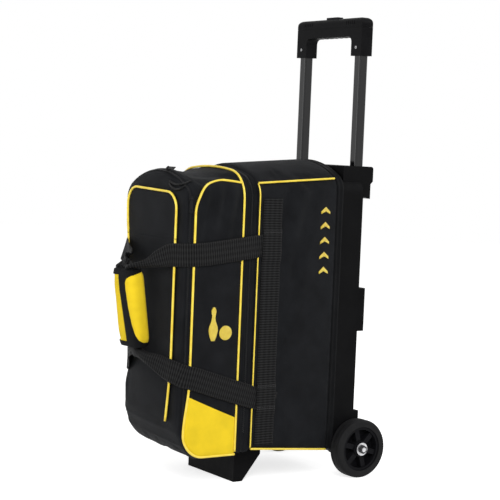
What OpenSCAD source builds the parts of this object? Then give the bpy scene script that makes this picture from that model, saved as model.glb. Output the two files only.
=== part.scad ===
// Two-ball roller bag: padded fabric bag on a moulded back shell, with wheels, a foot and a telescopic handle.
// Millimetres, +Z up, the front of the bag faces -Y. Inside the modules, y is the depth behind the front panel.

/* [Fabric sections] */
// Width over the side faces of the main section
bag_w = 268; // [250:1:300]
// Depth of the front section, from the front panel to the zip gusset
front_depth = 148; // [120:1:180]
// Depth of the gusset that carries the main zip
gusset_depth = 30; // [22:1:40]
// Depth of the main section's fabric
main_depth = 201; // [190:1:240]
// Width of the binding between the fabric and the back shell
binding_depth = 17; // [12:1:24]
// Height of the main section's side edge at its front
main_top = 644; // [640:1:665]
// Height of the main section's bottom at its front
main_low = 78; // [72:1:84]
// Rise of the main section's top towards the rear, in degrees
main_top_rise = 4; // [0:0.5:5]
// Fall of the main section's bottom towards the rear, in degrees
main_low_fall = 4.5; // [0:0.5:5]
// Crown of the top across the bag
top_crown = 26; // [14:1:34]
// Radius of the top corners, seen from the front
top_corner = 36; // [24:1:48]
// Padded wall of the fabric sections
fabric_wall = 5; // [4:0.5:7]
// How far the front section's sides stand in from the main section's
front_inset = 4; // [3:0.5:8]
// Rounding of the front section's front edges
front_round = 20; // [16:1:24]

/* [Front panel] */
// Width of the piped front panel
panel_w = 208; // [180:1:216]
// Lower edge of the front panel
panel_low = 141; // [125:1:160]
// Upper edge of the front panel
panel_top = 619; // [600:1:626]
// Height of the fold under the front panel's top flap
flap_z = 515; // [514:1:540]
// Corner radius of the front panel
panel_corner = 40; // [30:1:50]
// Thickness of the front panel
panel_t = 5; // [4:0.5:7]
// Width of the piping
piping_w = 5; // [4:0.5:6]

/* [Side pockets] */
// Thickness of a side pocket
pocket_t = 3.4; // [2.4:0.2:3.6]
// Front edge of a side pocket, behind the front panel
pocket_front = 25; // [22:1:40]
// Height of a side pocket's top edge
pocket_top = 634; // [610:1:640]
// Height of the coloured panel's upper edge at the pocket's front
accent_front = 196; // [170:1:206]
// Height of the coloured panel's upper edge at the pocket's rear
accent_rear = 147; // [130:1:165]

/* [Webbing] */
// Width of the webbing
webbing_w = 48; // [38:1:50]
// Thickness of the webbing
webbing_t = 2.4; // [1.8:0.2:2.8]
// Depth of the vertical band's centre line on the main section
band_y = 214; // [210:1:225]

/* [Carry handle] */
// Length of the padded wrap
wrap_len = 164; // [140:1:180]
// Width of the wrap
wrap_w = 72; // [66:1:80]
// Thickness of the wrap
wrap_t = 32; // [28:1:38]
// Thickness of the closing flap on the wrap
wrap_flap_t = 4; // [3:0.5:5]
// Height of the wrap's middle
wrap_z = 368; // [360:1:376]
// Distance from the front panel to the wrap's middle
wrap_off = 41; // [38:1:46]
// Forward lean of the wrap, in degrees
wrap_lean = 5; // [0:0.5:7]

/* [Back shell] */
// Depth of the back shell
shell_depth = 55; // [50:1:62]
// Wall of the back shell
shell_wall = 3; // [2.5:0.5:4]
// Lowest edge of the back shell
shell_low = 58; // [54:1:62]
// Height of the back shell's side edge at the top
shell_top = 652; // [648:1:656]
// Crown of the back shell's top
shell_crown = 20; // [14:1:22]
// Rounding of the shell's upper rear edge
shell_round = 40; // [30:1:44]
// Count of the shallow flutes between the handle channels
flute_count = 5; // [3:1:7]

/* [Wheels] */
// Wheel diameter
wheel_d = 127; // [118:1:130]
// Wheel width
wheel_w = 32; // [26:1:36]
// Inner diameter of the tyre
tyre_bore = 96; // [90:1:100]
// Inner diameter of the rim ring
rim_bore = 84; // [76:1:86]
// Diameter of the wheel's hub
hub_d = 35; // [30:1:40]
// Count of the wheel's spokes
spoke_count = 6; // [5:1:8]
// Axle diameter
axle_d = 10; // [8:0.5:12]
// Wall of the bush in the hub
bush_wall = 2; // [1.5:0.5:3]
// Radial clearance of the running fits
running_gap = 0.05; // [0.02:0.01:0.1]

/* [Telescopic handle] */
// Distance between the tubes' centre lines
tube_span = 204; // [190:1:210]
// Side of an inner tube
tube_w = 22; // [20:0.5:23]
// Wall of the tubes
tube_wall = 1.6; // [1.2:0.2:2]
// Clearance between the inner and the outer tube, each side
tube_gap = 0.3; // [0.2:0.05:0.5]
// Height of the grip's lower edge with the handle out
grip_low = 915; // [900:1:930]
// Height of the grip from its sockets' lower edge to its top
grip_h = 83; // [76:1:90]
// Height of the grip's bar
grip_bar = 41; // [36:1:44]
// Depth of the grip, front to rear
grip_t = 30; // [29:1:34]
// Width of the grip
grip_w = 240; // [236:1:250]
// How far the tubes can slide in
handle_travel = 238; // [200:1:238]
// How far the release button stands above the grip
button_rise = 4; // [3:0.5:6]

/* [Foot] */
// Width of the foot
foot_w = 184; // [150:1:200]
// Depth of the foot's front face behind the front panel
foot_y = 170; // [160:1:176]
// Length of the foot where it stands
foot_len = 22; // [18:1:30]

/* [Zips] */
// Width of the zip's row of teeth
zip_w = 6; // [5:0.5:8]
// Length of a zip slider
slider_len = 11; // [9:0.5:14]
// Length of a pull tab
tab_len = 28; // [22:1:30]

/* [Hidden] */

$fn = 64;
big = 2000;             // larger than anything here, for cuts
seat = 0.3;             // gap between pieces that are fixed face to face
smooth = 256;           // facets of the large arcs in the preview

half_w = bag_w / 2;
wheel_r = wheel_d / 2;
gusset_y = front_depth;
main_y = gusset_y + gusset_depth;
binding_y = main_y + main_depth;
shell_y = binding_y + binding_depth;
rear_y = shell_y + shell_depth;
axle_y = rear_y;

wrap_reach = wrap_off + (wrap_t / 2 + seat + wrap_flap_t) * cos(wrap_lean) + wrap_len / 2 * sin(wrap_lean);
y_face = -(axle_y + wheel_r - wrap_reach) / 2;    // puts the origin under the middle of the whole bag

front_half = half_w - front_inset;
gusset_half = front_half + 1;
shell_half = half_w - 2;
outer_tube_w = tube_w + 2 * (tube_gap + tube_wall);
tube_x = tube_span / 2;
grip_top_z = grip_low + grip_h;
grip_mid_z = grip_top_z - grip_bar / 2;

housing_top = shell_top + shell_crown + 4;
tube_foot_z = 142 + seat;
tube_top_z = housing_top - 16;
inner_tube_low = tube_foot_z + handle_travel + 22;
strap_x = half_w + webbing_t + seat + 0.4;    // inner face of the straps along the side
black = "#1b1c20";
gold = "#f5d428";

module place() {
    translate([0, y_face, 0]) children();
}

// A profile drawn in [y, z], carried across the bag.
module across(width) {
    rotate([90, 0, 90]) linear_extrude(width, center = true) children();
}

// A profile drawn in [x, z], carried from depth y0 to depth y1.
module deep(y0, y1) {
    translate([0, y1, 0]) rotate([90, 0, 0]) linear_extrude(y1 - y0) children();
}

// A profile drawn in [x, y], carried from height z0 to height z1.
module tall(z0, z1) {
    translate([0, 0, z0]) linear_extrude(z1 - z0) children();
}

// One side of the bag: near is +X, far is its mirror image.
module on_side(side) {
    if (side > 0) children(); else mirror([1, 0, 0]) children();
}

// Outline of the bag seen from the front: upright sides, and a crowned top that runs into round corners.
module section(half, low, top, crown, corner) {
    flat = half - corner;
    reach = (flat * flat + crown * crown) / (2 * crown);    // from the crown's centre to a corner's
    meet = flat + corner * flat / reach;                    // where the crown runs into the corners
    sunk = 0.8;                                             // so that the two arcs cross
    translate([-half, low]) square([2 * half, top - corner - low]);
    for (side = [-1, 1])
        translate([side * flat, top - corner]) circle(corner);
    intersection() {
        translate([-meet, top - corner - 1]) square([2 * meet, big]);
        translate([0, top + crown - reach - corner]) circle(reach + corner - sunk, $fn = smooth);
    }
}

// Rectangle from [x0, y0] to [x1, y1] with one corner radius.
module rounded(x0, y0, x1, y1, r) {
    translate([x0 + r, y0]) square([x1 - x0 - 2 * r, y1 - y0]);
    translate([x0, y0 + r]) square([x1 - x0, y1 - y0 - 2 * r]);
    for (x = [x0 + r, x1 - r], y = [y0 + r, y1 - r])
        translate([x, y]) circle(r);
}

// ---- solids that several pieces share ----

function main_bottom(y) = main_low - (y - main_y) * tan(main_low_fall);

// The main section's outer form between two depths, grown by g.
module main_form(g, y0, y1) {
    intersection() {
        translate([0, main_y, main_top]) rotate([main_top_rise, 0, 0]) translate([0, 0, -main_top])
            deep(-big / 4, big / 4) section(half_w + g, -big / 4, main_top + g, top_crown, top_corner + g);
        across(big) polygon([[y0, main_bottom(y0) - g], [y1, main_bottom(y1) - g], [y1, big], [y0, big]]);
    }
}

module main_hollow() {
    intersection() {
        main_form(-fabric_wall, main_y - 1, shell_y + 1);
        translate([-big / 2, 0, main_low + fabric_wall]) cube(big);
    }
}

front_top = pocket_top + 2;
front_y0 = panel_t + seat;
front_nose = 35;          // rounding of the front section's upper front edge
front_crest = front_top + top_crown;
front_low = 64;
opening_inset = 9;        // how far the opening behind the front panel stands in from the panel's edge

// The front section's outer form, grown by g: rounded in plan, in profile and seen from the front.
module front_form(g, y1) {
    intersection() {
        tall(0, big / 2) union() {
            translate([-(front_half + g), front_y0 + front_round])
                square([2 * (front_half + g), y1 - front_y0 - front_round]);
            translate([-(front_half - front_round), front_y0 - g])
                square([2 * (front_half - front_round), y1 - front_y0]);
            for (side = [-1, 1])
                translate([side * (front_half - front_round), front_y0 + front_round]) circle(front_round + g);
        }
        across(big) union() {
            polygon([[front_y0 - g, panel_low - g], [front_y0 + 9 - g, 102 - g], [front_y0 + 29 - g, 75 - g],
                [front_y0 + 55, front_low - g], [y1, front_low - g], [y1, front_crest + g],
                [front_y0 + front_nose, front_crest + g], [front_y0 + front_nose, front_crest - front_nose],
                [front_y0 - g, front_crest - front_nose]]);
            translate([front_y0 + front_nose, front_crest - front_nose]) circle(front_nose + g);
        }
        deep(-big / 4, big / 4) section(front_half + g, 0, front_top + g, top_crown, top_corner + g);
    }
}

// The side pocket's outline in [y, z], shrunk by inset: its front edge leans forward to the toe.
module pocket_outline(inset) {
    nose = 75;
    toe = 40;
    nose_y = pocket_front + nose;
    nose_z = pocket_top - nose;
    toe_y = pocket_front - 9 + toe;
    toe_z = front_low + 3 + toe;
    y1 = gusset_y - 2 - inset;
    intersection() {
        translate([0, toe_z - toe + inset]) square([y1, pocket_top - toe_z + toe - 2 * inset]);
        union() {
            polygon([[toe_y - toe + inset, toe_z], [pocket_front + inset, toe_z + 90],
                [pocket_front + inset, nose_z], [y1, nose_z], [y1, toe_z]]);
            translate([nose_y, nose_z - 1]) square(nose);
            translate([toe_y, toe_z - toe]) square([y1 - toe_y, toe + 1]);
            translate([nose_y, nose_z]) circle(nose - inset);
            translate([toe_y, toe_z]) circle(toe - inset);
        }
    }
}

// Part of a skin on the front section's near side, from g0 to g1 off its surface, cut to a [y, z] outline.
module side_skin(g0, g1) {
    intersection() {
        difference() {
            front_form(g1, gusset_y);
            front_form(g0, gusset_y + 1);
        }
        across(big) children();
        deep(-10, gusset_y + 1)
            polygon([[front_half - 8, 0], [big, 0], [big, big], [70, big], [70, 500], [front_half - 8, 400]]);
    }
}

// Above or below the coloured panel's upper edge.
module accent_cut(above) {
    line = [[pocket_front, accent_front], [gusset_y, accent_rear]];
    far_z = above ? big : -big;
    shift = above ? seat : 0;
    polygon([[-50, line[0][1] + shift + 12], [line[0][0], line[0][1] + shift],
        [line[1][0], line[1][1] + shift],
        [line[1][0] + 50, line[1][1] + shift], [line[1][0] + 50, far_z], [-50, far_z]]);
}

// The front panel's outline in [x, z], shrunk by inset: round corners above and a straight lower edge at low.
module panel_outline(inset, low = panel_low) {
    half = panel_w / 2 - inset;
    corner = panel_corner - inset;
    translate([-half, low]) square([2 * half, panel_top - panel_corner - low]);
    translate([-half + corner, low]) square([2 * (half - corner), panel_top - inset - low]);
    for (side = [-1, 1])
        translate([side * (half - corner), panel_top - panel_corner]) circle(corner);
}

// The shell's outer form, grown by g.
module shell_form(g, y0) {
    crest = shell_top + shell_crown;
    intersection() {
        deep(y0, rear_y + g) section(shell_half + g, shell_low - g, shell_top + g, shell_crown, top_corner + g);
        across(big) union() {
            translate([y0, 0]) square([rear_y - shell_round - y0, big]);
            translate([y0, 0]) square([rear_y + g - y0, crest - shell_round]);
            translate([rear_y - shell_round, crest - shell_round]) circle(shell_round + g);
        }
    }
}

// A strip of webbing through stations [centre, across, normal]. The length of across is the share of the
// webbing's width that the gathered strip takes there.
module ribbon(stations, width, thickness) {
    n = len(stations);
    points = [for (s = stations) for (k = [[-1, -1], [1, -1], [1, 1], [-1, 1]])
        s[0] + s[1] * k[0] * width / 2 + s[2] * k[1] * thickness / 2];
    sides = [for (i = [0 : n - 2]) for (k = [0 : 3])
        let (a = 4 * i + k, b = 4 * i + (k + 1) % 4)
        each [[a, b, b + 4], [a, b + 4, a + 4]]];
    ends = [[2, 1, 0], [3, 2, 0], [4 * n - 4, 4 * n - 3, 4 * n - 2], [4 * n - 4, 4 * n - 2, 4 * n - 1]];
    polyhedron(points, concat(sides, ends), convexity = 8);
}

// ---- back shell and what is fixed to it ----

notch_y = shell_y + 30;       // the shell's lower rear corner is open for the axle housing
notch_z = 95;
flute_span = tube_span - 60;
flute_w = 6;
groove_half = outer_tube_w / 2 + seat;
mid_low = 316;
mid_high = 410;

module back_shell() {
    color(black) place() difference() {
        union() {
            difference() {
                shell_form(0, shell_y);
                shell_form(-shell_wall, shell_y - 1);
            }
            intersection() {
                shell_form(0, shell_y);
                union() {
                    for (side = [-1, 1])
                        translate([side * tube_x - groove_half - shell_wall, rear_y - groove_half - shell_wall,
                            notch_z]) cube([2 * (groove_half + shell_wall), big, big]);
                    translate([-half_w, notch_y - shell_wall, 0]) cube([bag_w, big, notch_z + shell_wall]);
                }
            }
        }
        for (side = [-1, 1])
            translate([side * tube_x - groove_half, rear_y - groove_half, 0])
                cube([2 * groove_half, big, big]);
        translate([-half_w, notch_y, 0]) cube([bag_w, big, notch_z]);
        for (i = [0 : flute_count - 1])
            translate([(i - (flute_count - 1) / 2) * flute_span / max(flute_count, 2) - flute_w / 2,
                rear_y - 1, 150])
                cube([flute_w, 2, 430]);
    }
}

module shell_binding() {
    color(black) place() difference() {
        main_form(0.8, binding_y + seat, shell_y - seat);
        main_hollow();
    }
}

module top_housing() {
    y1 = rear_y + 34;
    color(black) place() difference() {
        across(2 * (tube_x + 18)) union() {
            polygon([[shell_y + 8, shell_top - 30], [y1 - 6, shell_top - 46], [y1 - 6, housing_top - 38],
                [y1, housing_top - 32], [y1, housing_top - 6], [y1 - 6, housing_top],
                [shell_y + 8, housing_top]]);
            translate([y1 - 6, housing_top - 6]) circle(6);
        }
        shell_form(seat, shell_y - 1);
        for (side = [-1, 1]) translate([side * tube_x, rear_y, 0]) {
            translate([-tube_w / 2 - tube_gap, -tube_w / 2 - tube_gap, 0])
                cube([tube_w + 2 * tube_gap, tube_w + 2 * tube_gap, big]);
            translate([-groove_half, -groove_half, 0])
                cube([2 * groove_half, 2 * groove_half, tube_top_z + seat]);
        }
        translate([-tube_x + 30, rear_y + 6, 0]) cube([tube_span - 60, 16, housing_top - 6]);
    }
}

module outer_tube(side) {
    color("#2a2b2f") place() translate([side * tube_x, rear_y, tube_foot_z]) difference() {
        translate([-outer_tube_w / 2, -outer_tube_w / 2, 0])
            cube([outer_tube_w, outer_tube_w, tube_top_z - tube_foot_z]);
        translate([-tube_w / 2 - tube_gap, -tube_w / 2 - tube_gap, -1])
            cube([tube_w + 2 * tube_gap, tube_w + 2 * tube_gap, big]);
    }
}

module mid_bracket() {
    color(black) place() difference() {
        tall(mid_low, mid_high) rounded(-tube_x - 20, rear_y + seat, tube_x + 20, rear_y + 27, 5);
        for (side = [-1, 1])
            translate([side * tube_x - groove_half, rear_y - 1, 0])
                cube([2 * groove_half, groove_half + 1, big]);
        translate([-tube_x + 20, rear_y - 1, mid_low + 20]) cube([tube_span - 40, 20, mid_high - mid_low - 40]);
    }
}

housing_half = half_w - 3;

module axle_housing() {
    top = tube_foot_z - seat;
    color(black) place() difference() {
        across(2 * housing_half)
            polygon([[notch_y + seat, 48], [notch_y + seat, notch_z - seat], [rear_y + seat, notch_z - seat],
                [rear_y + seat, top], [rear_y + 14, top], [rear_y + 14, 116], [rear_y + 22, 104],
                [rear_y + 22, 48], [rear_y + 14, 40], [notch_y + 10, 40]]);
        for (i = [-2 : 2])
            translate([i * 50 - 21, notch_y + 5, 0]) cube([42, rear_y - notch_y + 12, notch_z - 12]);
        translate([0, axle_y, wheel_r]) rotate([0, 90, 0])
            cylinder(d = axle_d + 2 * running_gap, h = big, center = true);
    }
}

// ---- wheels ----

wheel_in = half_w + 1.5;      // inner face of a wheel
wheel_out = wheel_in + wheel_w;
bush_r = axle_d / 2 + running_gap + bush_wall;

module on_axle(side, x) {
    place() on_side(side) translate([x, axle_y, wheel_r]) rotate([0, 90, 0]) children();
}

module axle() {
    color("silver") place() translate([0, axle_y, wheel_r]) rotate([0, 90, 0])
        cylinder(d = axle_d, h = 2 * (wheel_out + 9), center = true);
}

module axle_washers() {
    color("gainsboro") for (side = [-1, 1]) {
        on_axle(side, housing_half + 0.1) washer(22, wheel_in - housing_half - 0.8);
        on_axle(side, wheel_out + 0.6) washer(28, 1.2);
    }
}

module washer(outer_d, thickness) {
    difference() {
        cylinder(d = outer_d, h = thickness);
        translate([0, 0, -1]) cylinder(d = axle_d + 2 * running_gap, h = thickness + 2);
    }
}

module axle_nuts() {
    color("dimgray") for (side = [-1, 1])
        on_axle(side, wheel_out + 1.9) difference() {
            cylinder(d = 19, h = 5.5, $fn = 6);
            translate([0, 0, -1]) cylinder(d = axle_d + 2 * running_gap, h = 8);
        }
}

module tyre(side) {
    color("#26272b") on_axle(side, wheel_in) rotate_extrude($fn = 96) difference() {
        union() {
            translate([0, 6]) square([wheel_r, wheel_w - 12]);
            square([wheel_r - 6, wheel_w]);
            for (y = [6, wheel_w - 6]) translate([wheel_r - 6, y]) circle(6);
        }
        translate([-1, -1]) square([tyre_bore / 2 + 1.05, wheel_w + 2]);
        for (y = [wheel_w / 2 - 7, wheel_w / 2 + 7]) translate([wheel_r + 0.6, y]) circle(1.6);
    }
}

// The rim, its web and its hub as one turned profile, with ribs for spokes on the web.
module rim(side) {
    face = 3;       // how far the rim's faces stand in from the tyre's
    depth = wheel_w - 2 * face;
    web = 5;
    web_t = 3;
    bore = bush_r + 0.05;
    spoke_w = 11;
    pitch = 360 / spoke_count;
    color("#222327") on_axle(side, wheel_in + face) {
        rotate_extrude($fn = 96)
            polygon([[bore, 0], [hub_d / 2, 0], [hub_d / 2, web], [rim_bore / 2, web], [rim_bore / 2, 0],
                [tyre_bore / 2, 0], [tyre_bore / 2, depth], [rim_bore / 2, depth], [rim_bore / 2, web + web_t],
                [hub_d / 2, web + web_t], [hub_d / 2, depth], [bore, depth]]);
        for (i = [0 : spoke_count - 1])
            rotate([0, 0, (i + 0.25) * pitch]) translate([hub_d / 2 - 3, -spoke_w / 2, web + 1])
                cube([rim_bore / 2 - hub_d / 2 + 5, spoke_w, depth - web - 4]);
    }
}

module bush(side) {
    color("goldenrod") on_axle(side, wheel_in - 0.5) difference() {
        cylinder(r = bush_r, h = wheel_w + 1);
        translate([0, 0, -1]) cylinder(d = axle_d + 2 * running_gap, h = wheel_w + 3);
    }
}

// ---- screws and foot ----

module screw_head(d, h) {
    difference() {
        cylinder(d = d, h = h);
        for (a = [0, 90]) rotate([0, 0, a]) translate([-d / 3, -0.6, h - 1]) cube([2 * d / 3, 1.2, 2]);
    }
}

// The screws that hold the top housing, the middle bracket and the axle housing to the shell.
module bracket_screws() {
    top_x = tube_span / 4;
    top_z = shell_top - 26;
    mid_x = tube_x - 26;
    mid_edge = 10;
    low_x = tube_span * 0.3;
    low_z = tube_foot_z - 14;
    color("silver") place() {
        for (x = [-top_x, top_x])
            translate([x, rear_y + 28, top_z]) rotate([-90, 0, 0]) screw_head(8, 2);
        for (x = [-mid_x, mid_x], z = [mid_low + mid_edge, mid_high - mid_edge])
            translate([x, rear_y + 27, z]) rotate([-90, 0, 0]) screw_head(8, 2);
        for (x = [-low_x, low_x])
            translate([x, rear_y + 14, low_z]) rotate([-90, 0, 0]) screw_head(8, 2);
    }
}

gusset_low = 72;
foot_high = 62;

module foot() {
    y1 = foot_y + 66;
    color(black) place() difference() {
        across(foot_w) polygon([[foot_y, 0], [foot_y + foot_len, 0], [y1, 56], [y1, main_bottom(y1) - seat],
            [main_y + seat, main_bottom(main_y) - seat], [main_y + seat, gusset_low - seat],
            [foot_y, gusset_low - seat]]);
        for (i = [-2 : 2])
            translate([i * foot_w / 5, 0, 0]) across(foot_w / 5 - 5)
                polygon([[foot_y + 5, 6], [foot_y + foot_len - 3, 6], [y1 - 10, 48], [y1 + 5, 54],
                    [y1 + 5, foot_high], [foot_y + 5, foot_high]]);
    }
}

module foot_screws() {
    color("silver") place()
        for (i = [-2, -1, 1, 2])
            translate([i * foot_w / 5, foot_y + 34, foot_high]) rotate([180, 0, 0]) screw_head(10, 2.5);
}

// ---- main section ----

module main_body() {
    color(black) place() difference() {
        main_form(0, main_y + seat, binding_y);
        main_hollow();
    }
}

cup_w = 196;
board_t = 4;
board_y0 = main_y + 8;
board_z = main_low + fabric_wall + seat;
shelf_z = 352;

module board(z) {
    tall(z, z + board_t)
        rounded(-half_w + fabric_wall + seat, board_y0, half_w - fabric_wall - seat, shell_y - 2, 12);
}

module base_board() {
    color("#3c3d41") place() board(board_z);
}

module divider_shelf() {
    color("#3c3d41") place() board(shelf_z);
}

// A foam ring with a spherical seat for a ball of 216 mm.
module ball_cup(z) {
    ball_r = 109;
    color("#4a4b50") place() translate([0, (board_y0 + shell_y) / 2, z + seat]) difference() {
        cylinder(d = cup_w, h = 30);
        translate([0, 0, ball_r - 8]) sphere(ball_r, $fn = 96);
        translate([0, 0, -1]) cylinder(d = 70, h = 40);
    }
}

module ball_cup_lower() {
    ball_cup(board_z + board_t);
}

module ball_cup_upper() {
    ball_cup(shelf_z + board_t);
}

module zip_gusset() {
    color(black) place() deep(gusset_y + seat, main_y) difference() {
        section(gusset_half, gusset_low, front_top + 2, top_crown, top_corner);
        section(gusset_half - 3, gusset_low + 3, front_top - 1, top_crown, top_corner - 3);
    }
}

zip_proud = 1.6;

module main_zip() {
    mid = (gusset_y + main_y) / 2;
    color("#303136") place() intersection() {
        deep(mid - zip_w / 2, mid + zip_w / 2) difference() {
            section(gusset_half + zip_proud, 0, front_top + 2 + zip_proud, top_crown, top_corner + zip_proud);
            section(gusset_half + seat, -1, front_top + 2 + seat, top_crown, top_corner + seat);
        }
        translate([-big / 2, 0, 110]) cube(big);
    }
}

// ---- front section ----

module front_section() {
    color(black) place() difference() {
        front_form(0, gusset_y);
        front_form(-fabric_wall, gusset_y - fabric_wall);
        deep(-1, front_y0 + front_round) panel_outline(opening_inset, panel_low + opening_inset);
    }
}

zip_y = front_y0 + 12;        // depth of the front zip's middle

module front_zip() {
    color("#303136") place() intersection() {
        difference() {
            front_form(zip_proud, gusset_y);
            front_form(seat, gusset_y + 1);
        }
        translate([-big / 2, zip_y - zip_w / 2, 150]) cube([big, zip_w, big]);
    }
}

module below_fold() {
    translate([-big / 2, 0]) square([big, flap_z - seat]);
}

module above_fold() {
    translate([-big / 2, flap_z]) square([big, big]);
}

module front_panel() {
    color(black) place() deep(0, panel_t) intersection() {
        panel_outline(piping_w + seat);
        below_fold();
    }
}

module front_flap() {
    color(black) place() deep(0, panel_t) intersection() {
        panel_outline(piping_w + seat);
        above_fold();
    }
}

module panel_ring() {
    deep(-2.4, piping_w - 2.4) intersection() {
        difference() {
            panel_outline(0);
            panel_outline(piping_w, panel_low - 1);
        }
        children();
    }
}

module panel_piping() {
    color(gold) place() panel_ring() below_fold();
}

module flap_piping() {
    color(gold) place() panel_ring() above_fold();
}

module pocket(side) {
    color(black) place() on_side(side) side_skin(seat, seat + pocket_t) intersection() {
        pocket_outline(piping_w + seat);
        accent_cut(true);
    }
}

module accent(side) {
    color(gold) place() on_side(side) side_skin(seat, seat + pocket_t) intersection() {
        pocket_outline(piping_w + seat);
        accent_cut(false);
    }
}

piping_y = gusset_y - 2 - piping_w;                 // front of the piping round the section's rear edge
piping_proud = seat + pocket_t + 1.4;

module pocket_piping(side) {
    color(gold) place() on_side(side) side_skin(seat, piping_proud) difference() {
        pocket_outline(0);
        pocket_outline(piping_w);
        translate([piping_y - seat, 0]) square(big);
    }
}

module section_piping() {
    color(gold) place() intersection() {
        difference() {
            front_form(piping_proud, gusset_y);
            front_form(seat, gusset_y + 1);
        }
        across(big) translate([piping_y, front_low + 3]) square([piping_w, big]);
    }
}

module main_piping(side) {
    bead = piping_w - 0.6;
    color(gold) place() on_side(side) {
        intersection() {
            difference() {
                main_form(2, main_y + 1, main_y + 5);
                main_form(seat, main_y, main_y + 6);
            }
            translate([60, 0, main_low + 2]) cube(big);
        }
        translate([half_w - top_corner, main_y, main_top - top_corner]) rotate([main_top_rise, 0, 0])
            rotate([0, 45, 0]) translate([0, 6, top_corner + bead / 2 + seat + 1])
                rotate([-90, 0, 0]) cylinder(d = bead, h = main_depth - 12);
        translate([half_w + bead / 2, main_y, main_low]) rotate([-main_low_fall, 0, 0])
            translate([0, 6, 1]) rotate([-90, 0, 0]) cylinder(d = bead, h = main_depth - 12);
    }
}

// ---- webbing and carry handle ----

module side_band(side) {
    color("#242529") place() on_side(side)
        translate([half_w + seat, band_y - webbing_w / 2, main_low + 6])
            cube([webbing_t, webbing_w, main_top - top_corner - main_low - 10]);
}

layer = webbing_t / 2 + 0.4;  // each strap's distance from the wrap's middle plane

function wrap_y(z) = -wrap_off - (z - wrap_z) * tan(wrap_lean);

// A strap's station at [x, depth, height]. turn is 0 where the strap's face looks to the side and 90 where it
// looks forward, tilt is 0 where its width is upright and 90 where it lies across, and up is 1 above the wrap.
function station(at, turn, tilt, up, share) =
    [at, share * [-sin(turn) * sin(tilt), -cos(turn) * sin(tilt), up * cos(tilt)], [cos(turn), -sin(turn), 0]];

function reversed(list) = [for (i = [len(list) - 1 : -1 : 0]) list[i]];

// Each strap runs forward along the side, round the front corner and over the panel, and gathers into the wrap.
module strap(side) {
    shift = side > 0 ? -layer : layer;
    x = strap_x + webbing_t / 2;
    corner_x = front_half - front_round;
    corner_y = front_y0 + front_round;
    over_panel = -piping_w / 2 - webbing_t / 2 - seat;
    high = wrap_z + wrap_len / 2;
    low = wrap_z - wrap_len / 2;
    z1 = high + 36;
    z0 = low - 39;
    upper = [
        station([x, band_y + webbing_w / 2, z1 + 24], 0, 0, 1, 1),
        station([x, gusset_y, z1 + 14], 0, 0, 1, 1),
        station([x, corner_y + 3, z1 + 1], 0, 0, 1, 1),
        station([corner_x + 24 * cos(28), corner_y - 24 * sin(28), z1], 28, 0, 1, 1),
        station([corner_x + 22.5 * cos(55), corner_y - 22.5 * sin(55), z1 - 0.5], 55, 0, 1, 1),
        station([panel_w / 2 + 3, over_panel, z1 - 1.5], 78, 0, 1, 1),
        station([panel_w / 2 - 10, over_panel - 2, z1 - 4], 72, 4, 1, 0.97),
        station([70, -19, high + 25], 66, 12, 1, 0.8),
        station([42, -36, high + 17], 64, 30, 1, 0.5),
        station([20, wrap_y(high + 10) + shift, high + 10], 80, 55, 1, 0.5),
        station([5, wrap_y(high + 6) + shift, high + 6], 90, 80, 1, 0.7),
        station([0, wrap_y(high - 4) + shift, high - 4], 90, 90, 1, 0.9)];
    lower = [
        station([x, band_y + webbing_w / 2, z0 - 75], 0, 0, -1, 1),
        station([x, gusset_y, z0 - 49], 0, 0, -1, 1),
        station([x, corner_y + 3, z0 - 12], 0, 0, -1, 1),
        station([corner_x + 24 * cos(28), corner_y - 24 * sin(28), z0 - 8], 28, 0, -1, 1),
        station([corner_x + 22.5 * cos(55), corner_y - 22.5 * sin(55), z0 - 4], 55, 0, -1, 1),
        station([panel_w / 2 + 3, over_panel, z0], 80, 0, -1, 1),
        station([panel_w / 2 - 10, over_panel - 1.5, z0 + 4], 80, 4, -1, 0.97),
        station([70, -13, z0 + 12], 74, 12, -1, 0.8),
        station([42, -25, low - 18], 70, 30, -1, 0.5),
        station([20, wrap_y(low - 10) + shift, low - 10], 80, 55, -1, 0.5),
        station([5, wrap_y(low - 6) + shift, low - 6], 90, 80, -1, 0.7),
        station([0, wrap_y(low + 4) + shift, low + 4], 90, 90, -1, 0.9)];
    color("#202125") place() on_side(side)
        ribbon(concat(upper, reversed(lower)), webbing_w, webbing_t);
}

module at_wrap() {
    place() translate([0, -wrap_off, wrap_z]) rotate([wrap_lean, 0, 0]) children();
}

module handle_wrap() {
    slot_t = layer + webbing_t / 2 + seat;
    color(gold) at_wrap() tall(-wrap_len / 2, wrap_len / 2) difference() {
        rounded(-wrap_w / 2, -wrap_t / 2, wrap_w / 2, wrap_t / 2, 9);
        translate([-webbing_w / 2 - 0.6, -slot_t]) square([webbing_w + 1.2, 2 * slot_t]);
    }
}

// The flap that closes the wrap: hinged along its upright right edge, free along its leaning left edge.
module wrap_flap() {
    hinge_x = wrap_w / 2 - 9;
    free_x = 2;
    free_lean = 8;
    half = wrap_len / 2 - 2;
    color(gold) at_wrap() deep(-wrap_t / 2 - seat - wrap_flap_t, -wrap_t / 2 - seat)
        polygon([[free_x + free_lean, -half], [hinge_x, -half], [hinge_x, half], [free_x - free_lean, half]]);
}

// ---- telescopic handle ----

module inner_tube(side) {
    top = grip_low + 22;
    inner = tube_w / 2 - tube_wall;
    color("#2c2d31") place() translate([side * tube_x, rear_y, 0]) difference() {
        tall(inner_tube_low, top) rounded(-tube_w / 2, -tube_w / 2, tube_w / 2, tube_w / 2, 4);
        tall(inner_tube_low - 1, top + 1)
            rounded(-inner, -inner, inner, inner, 2.5);
    }
}

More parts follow.
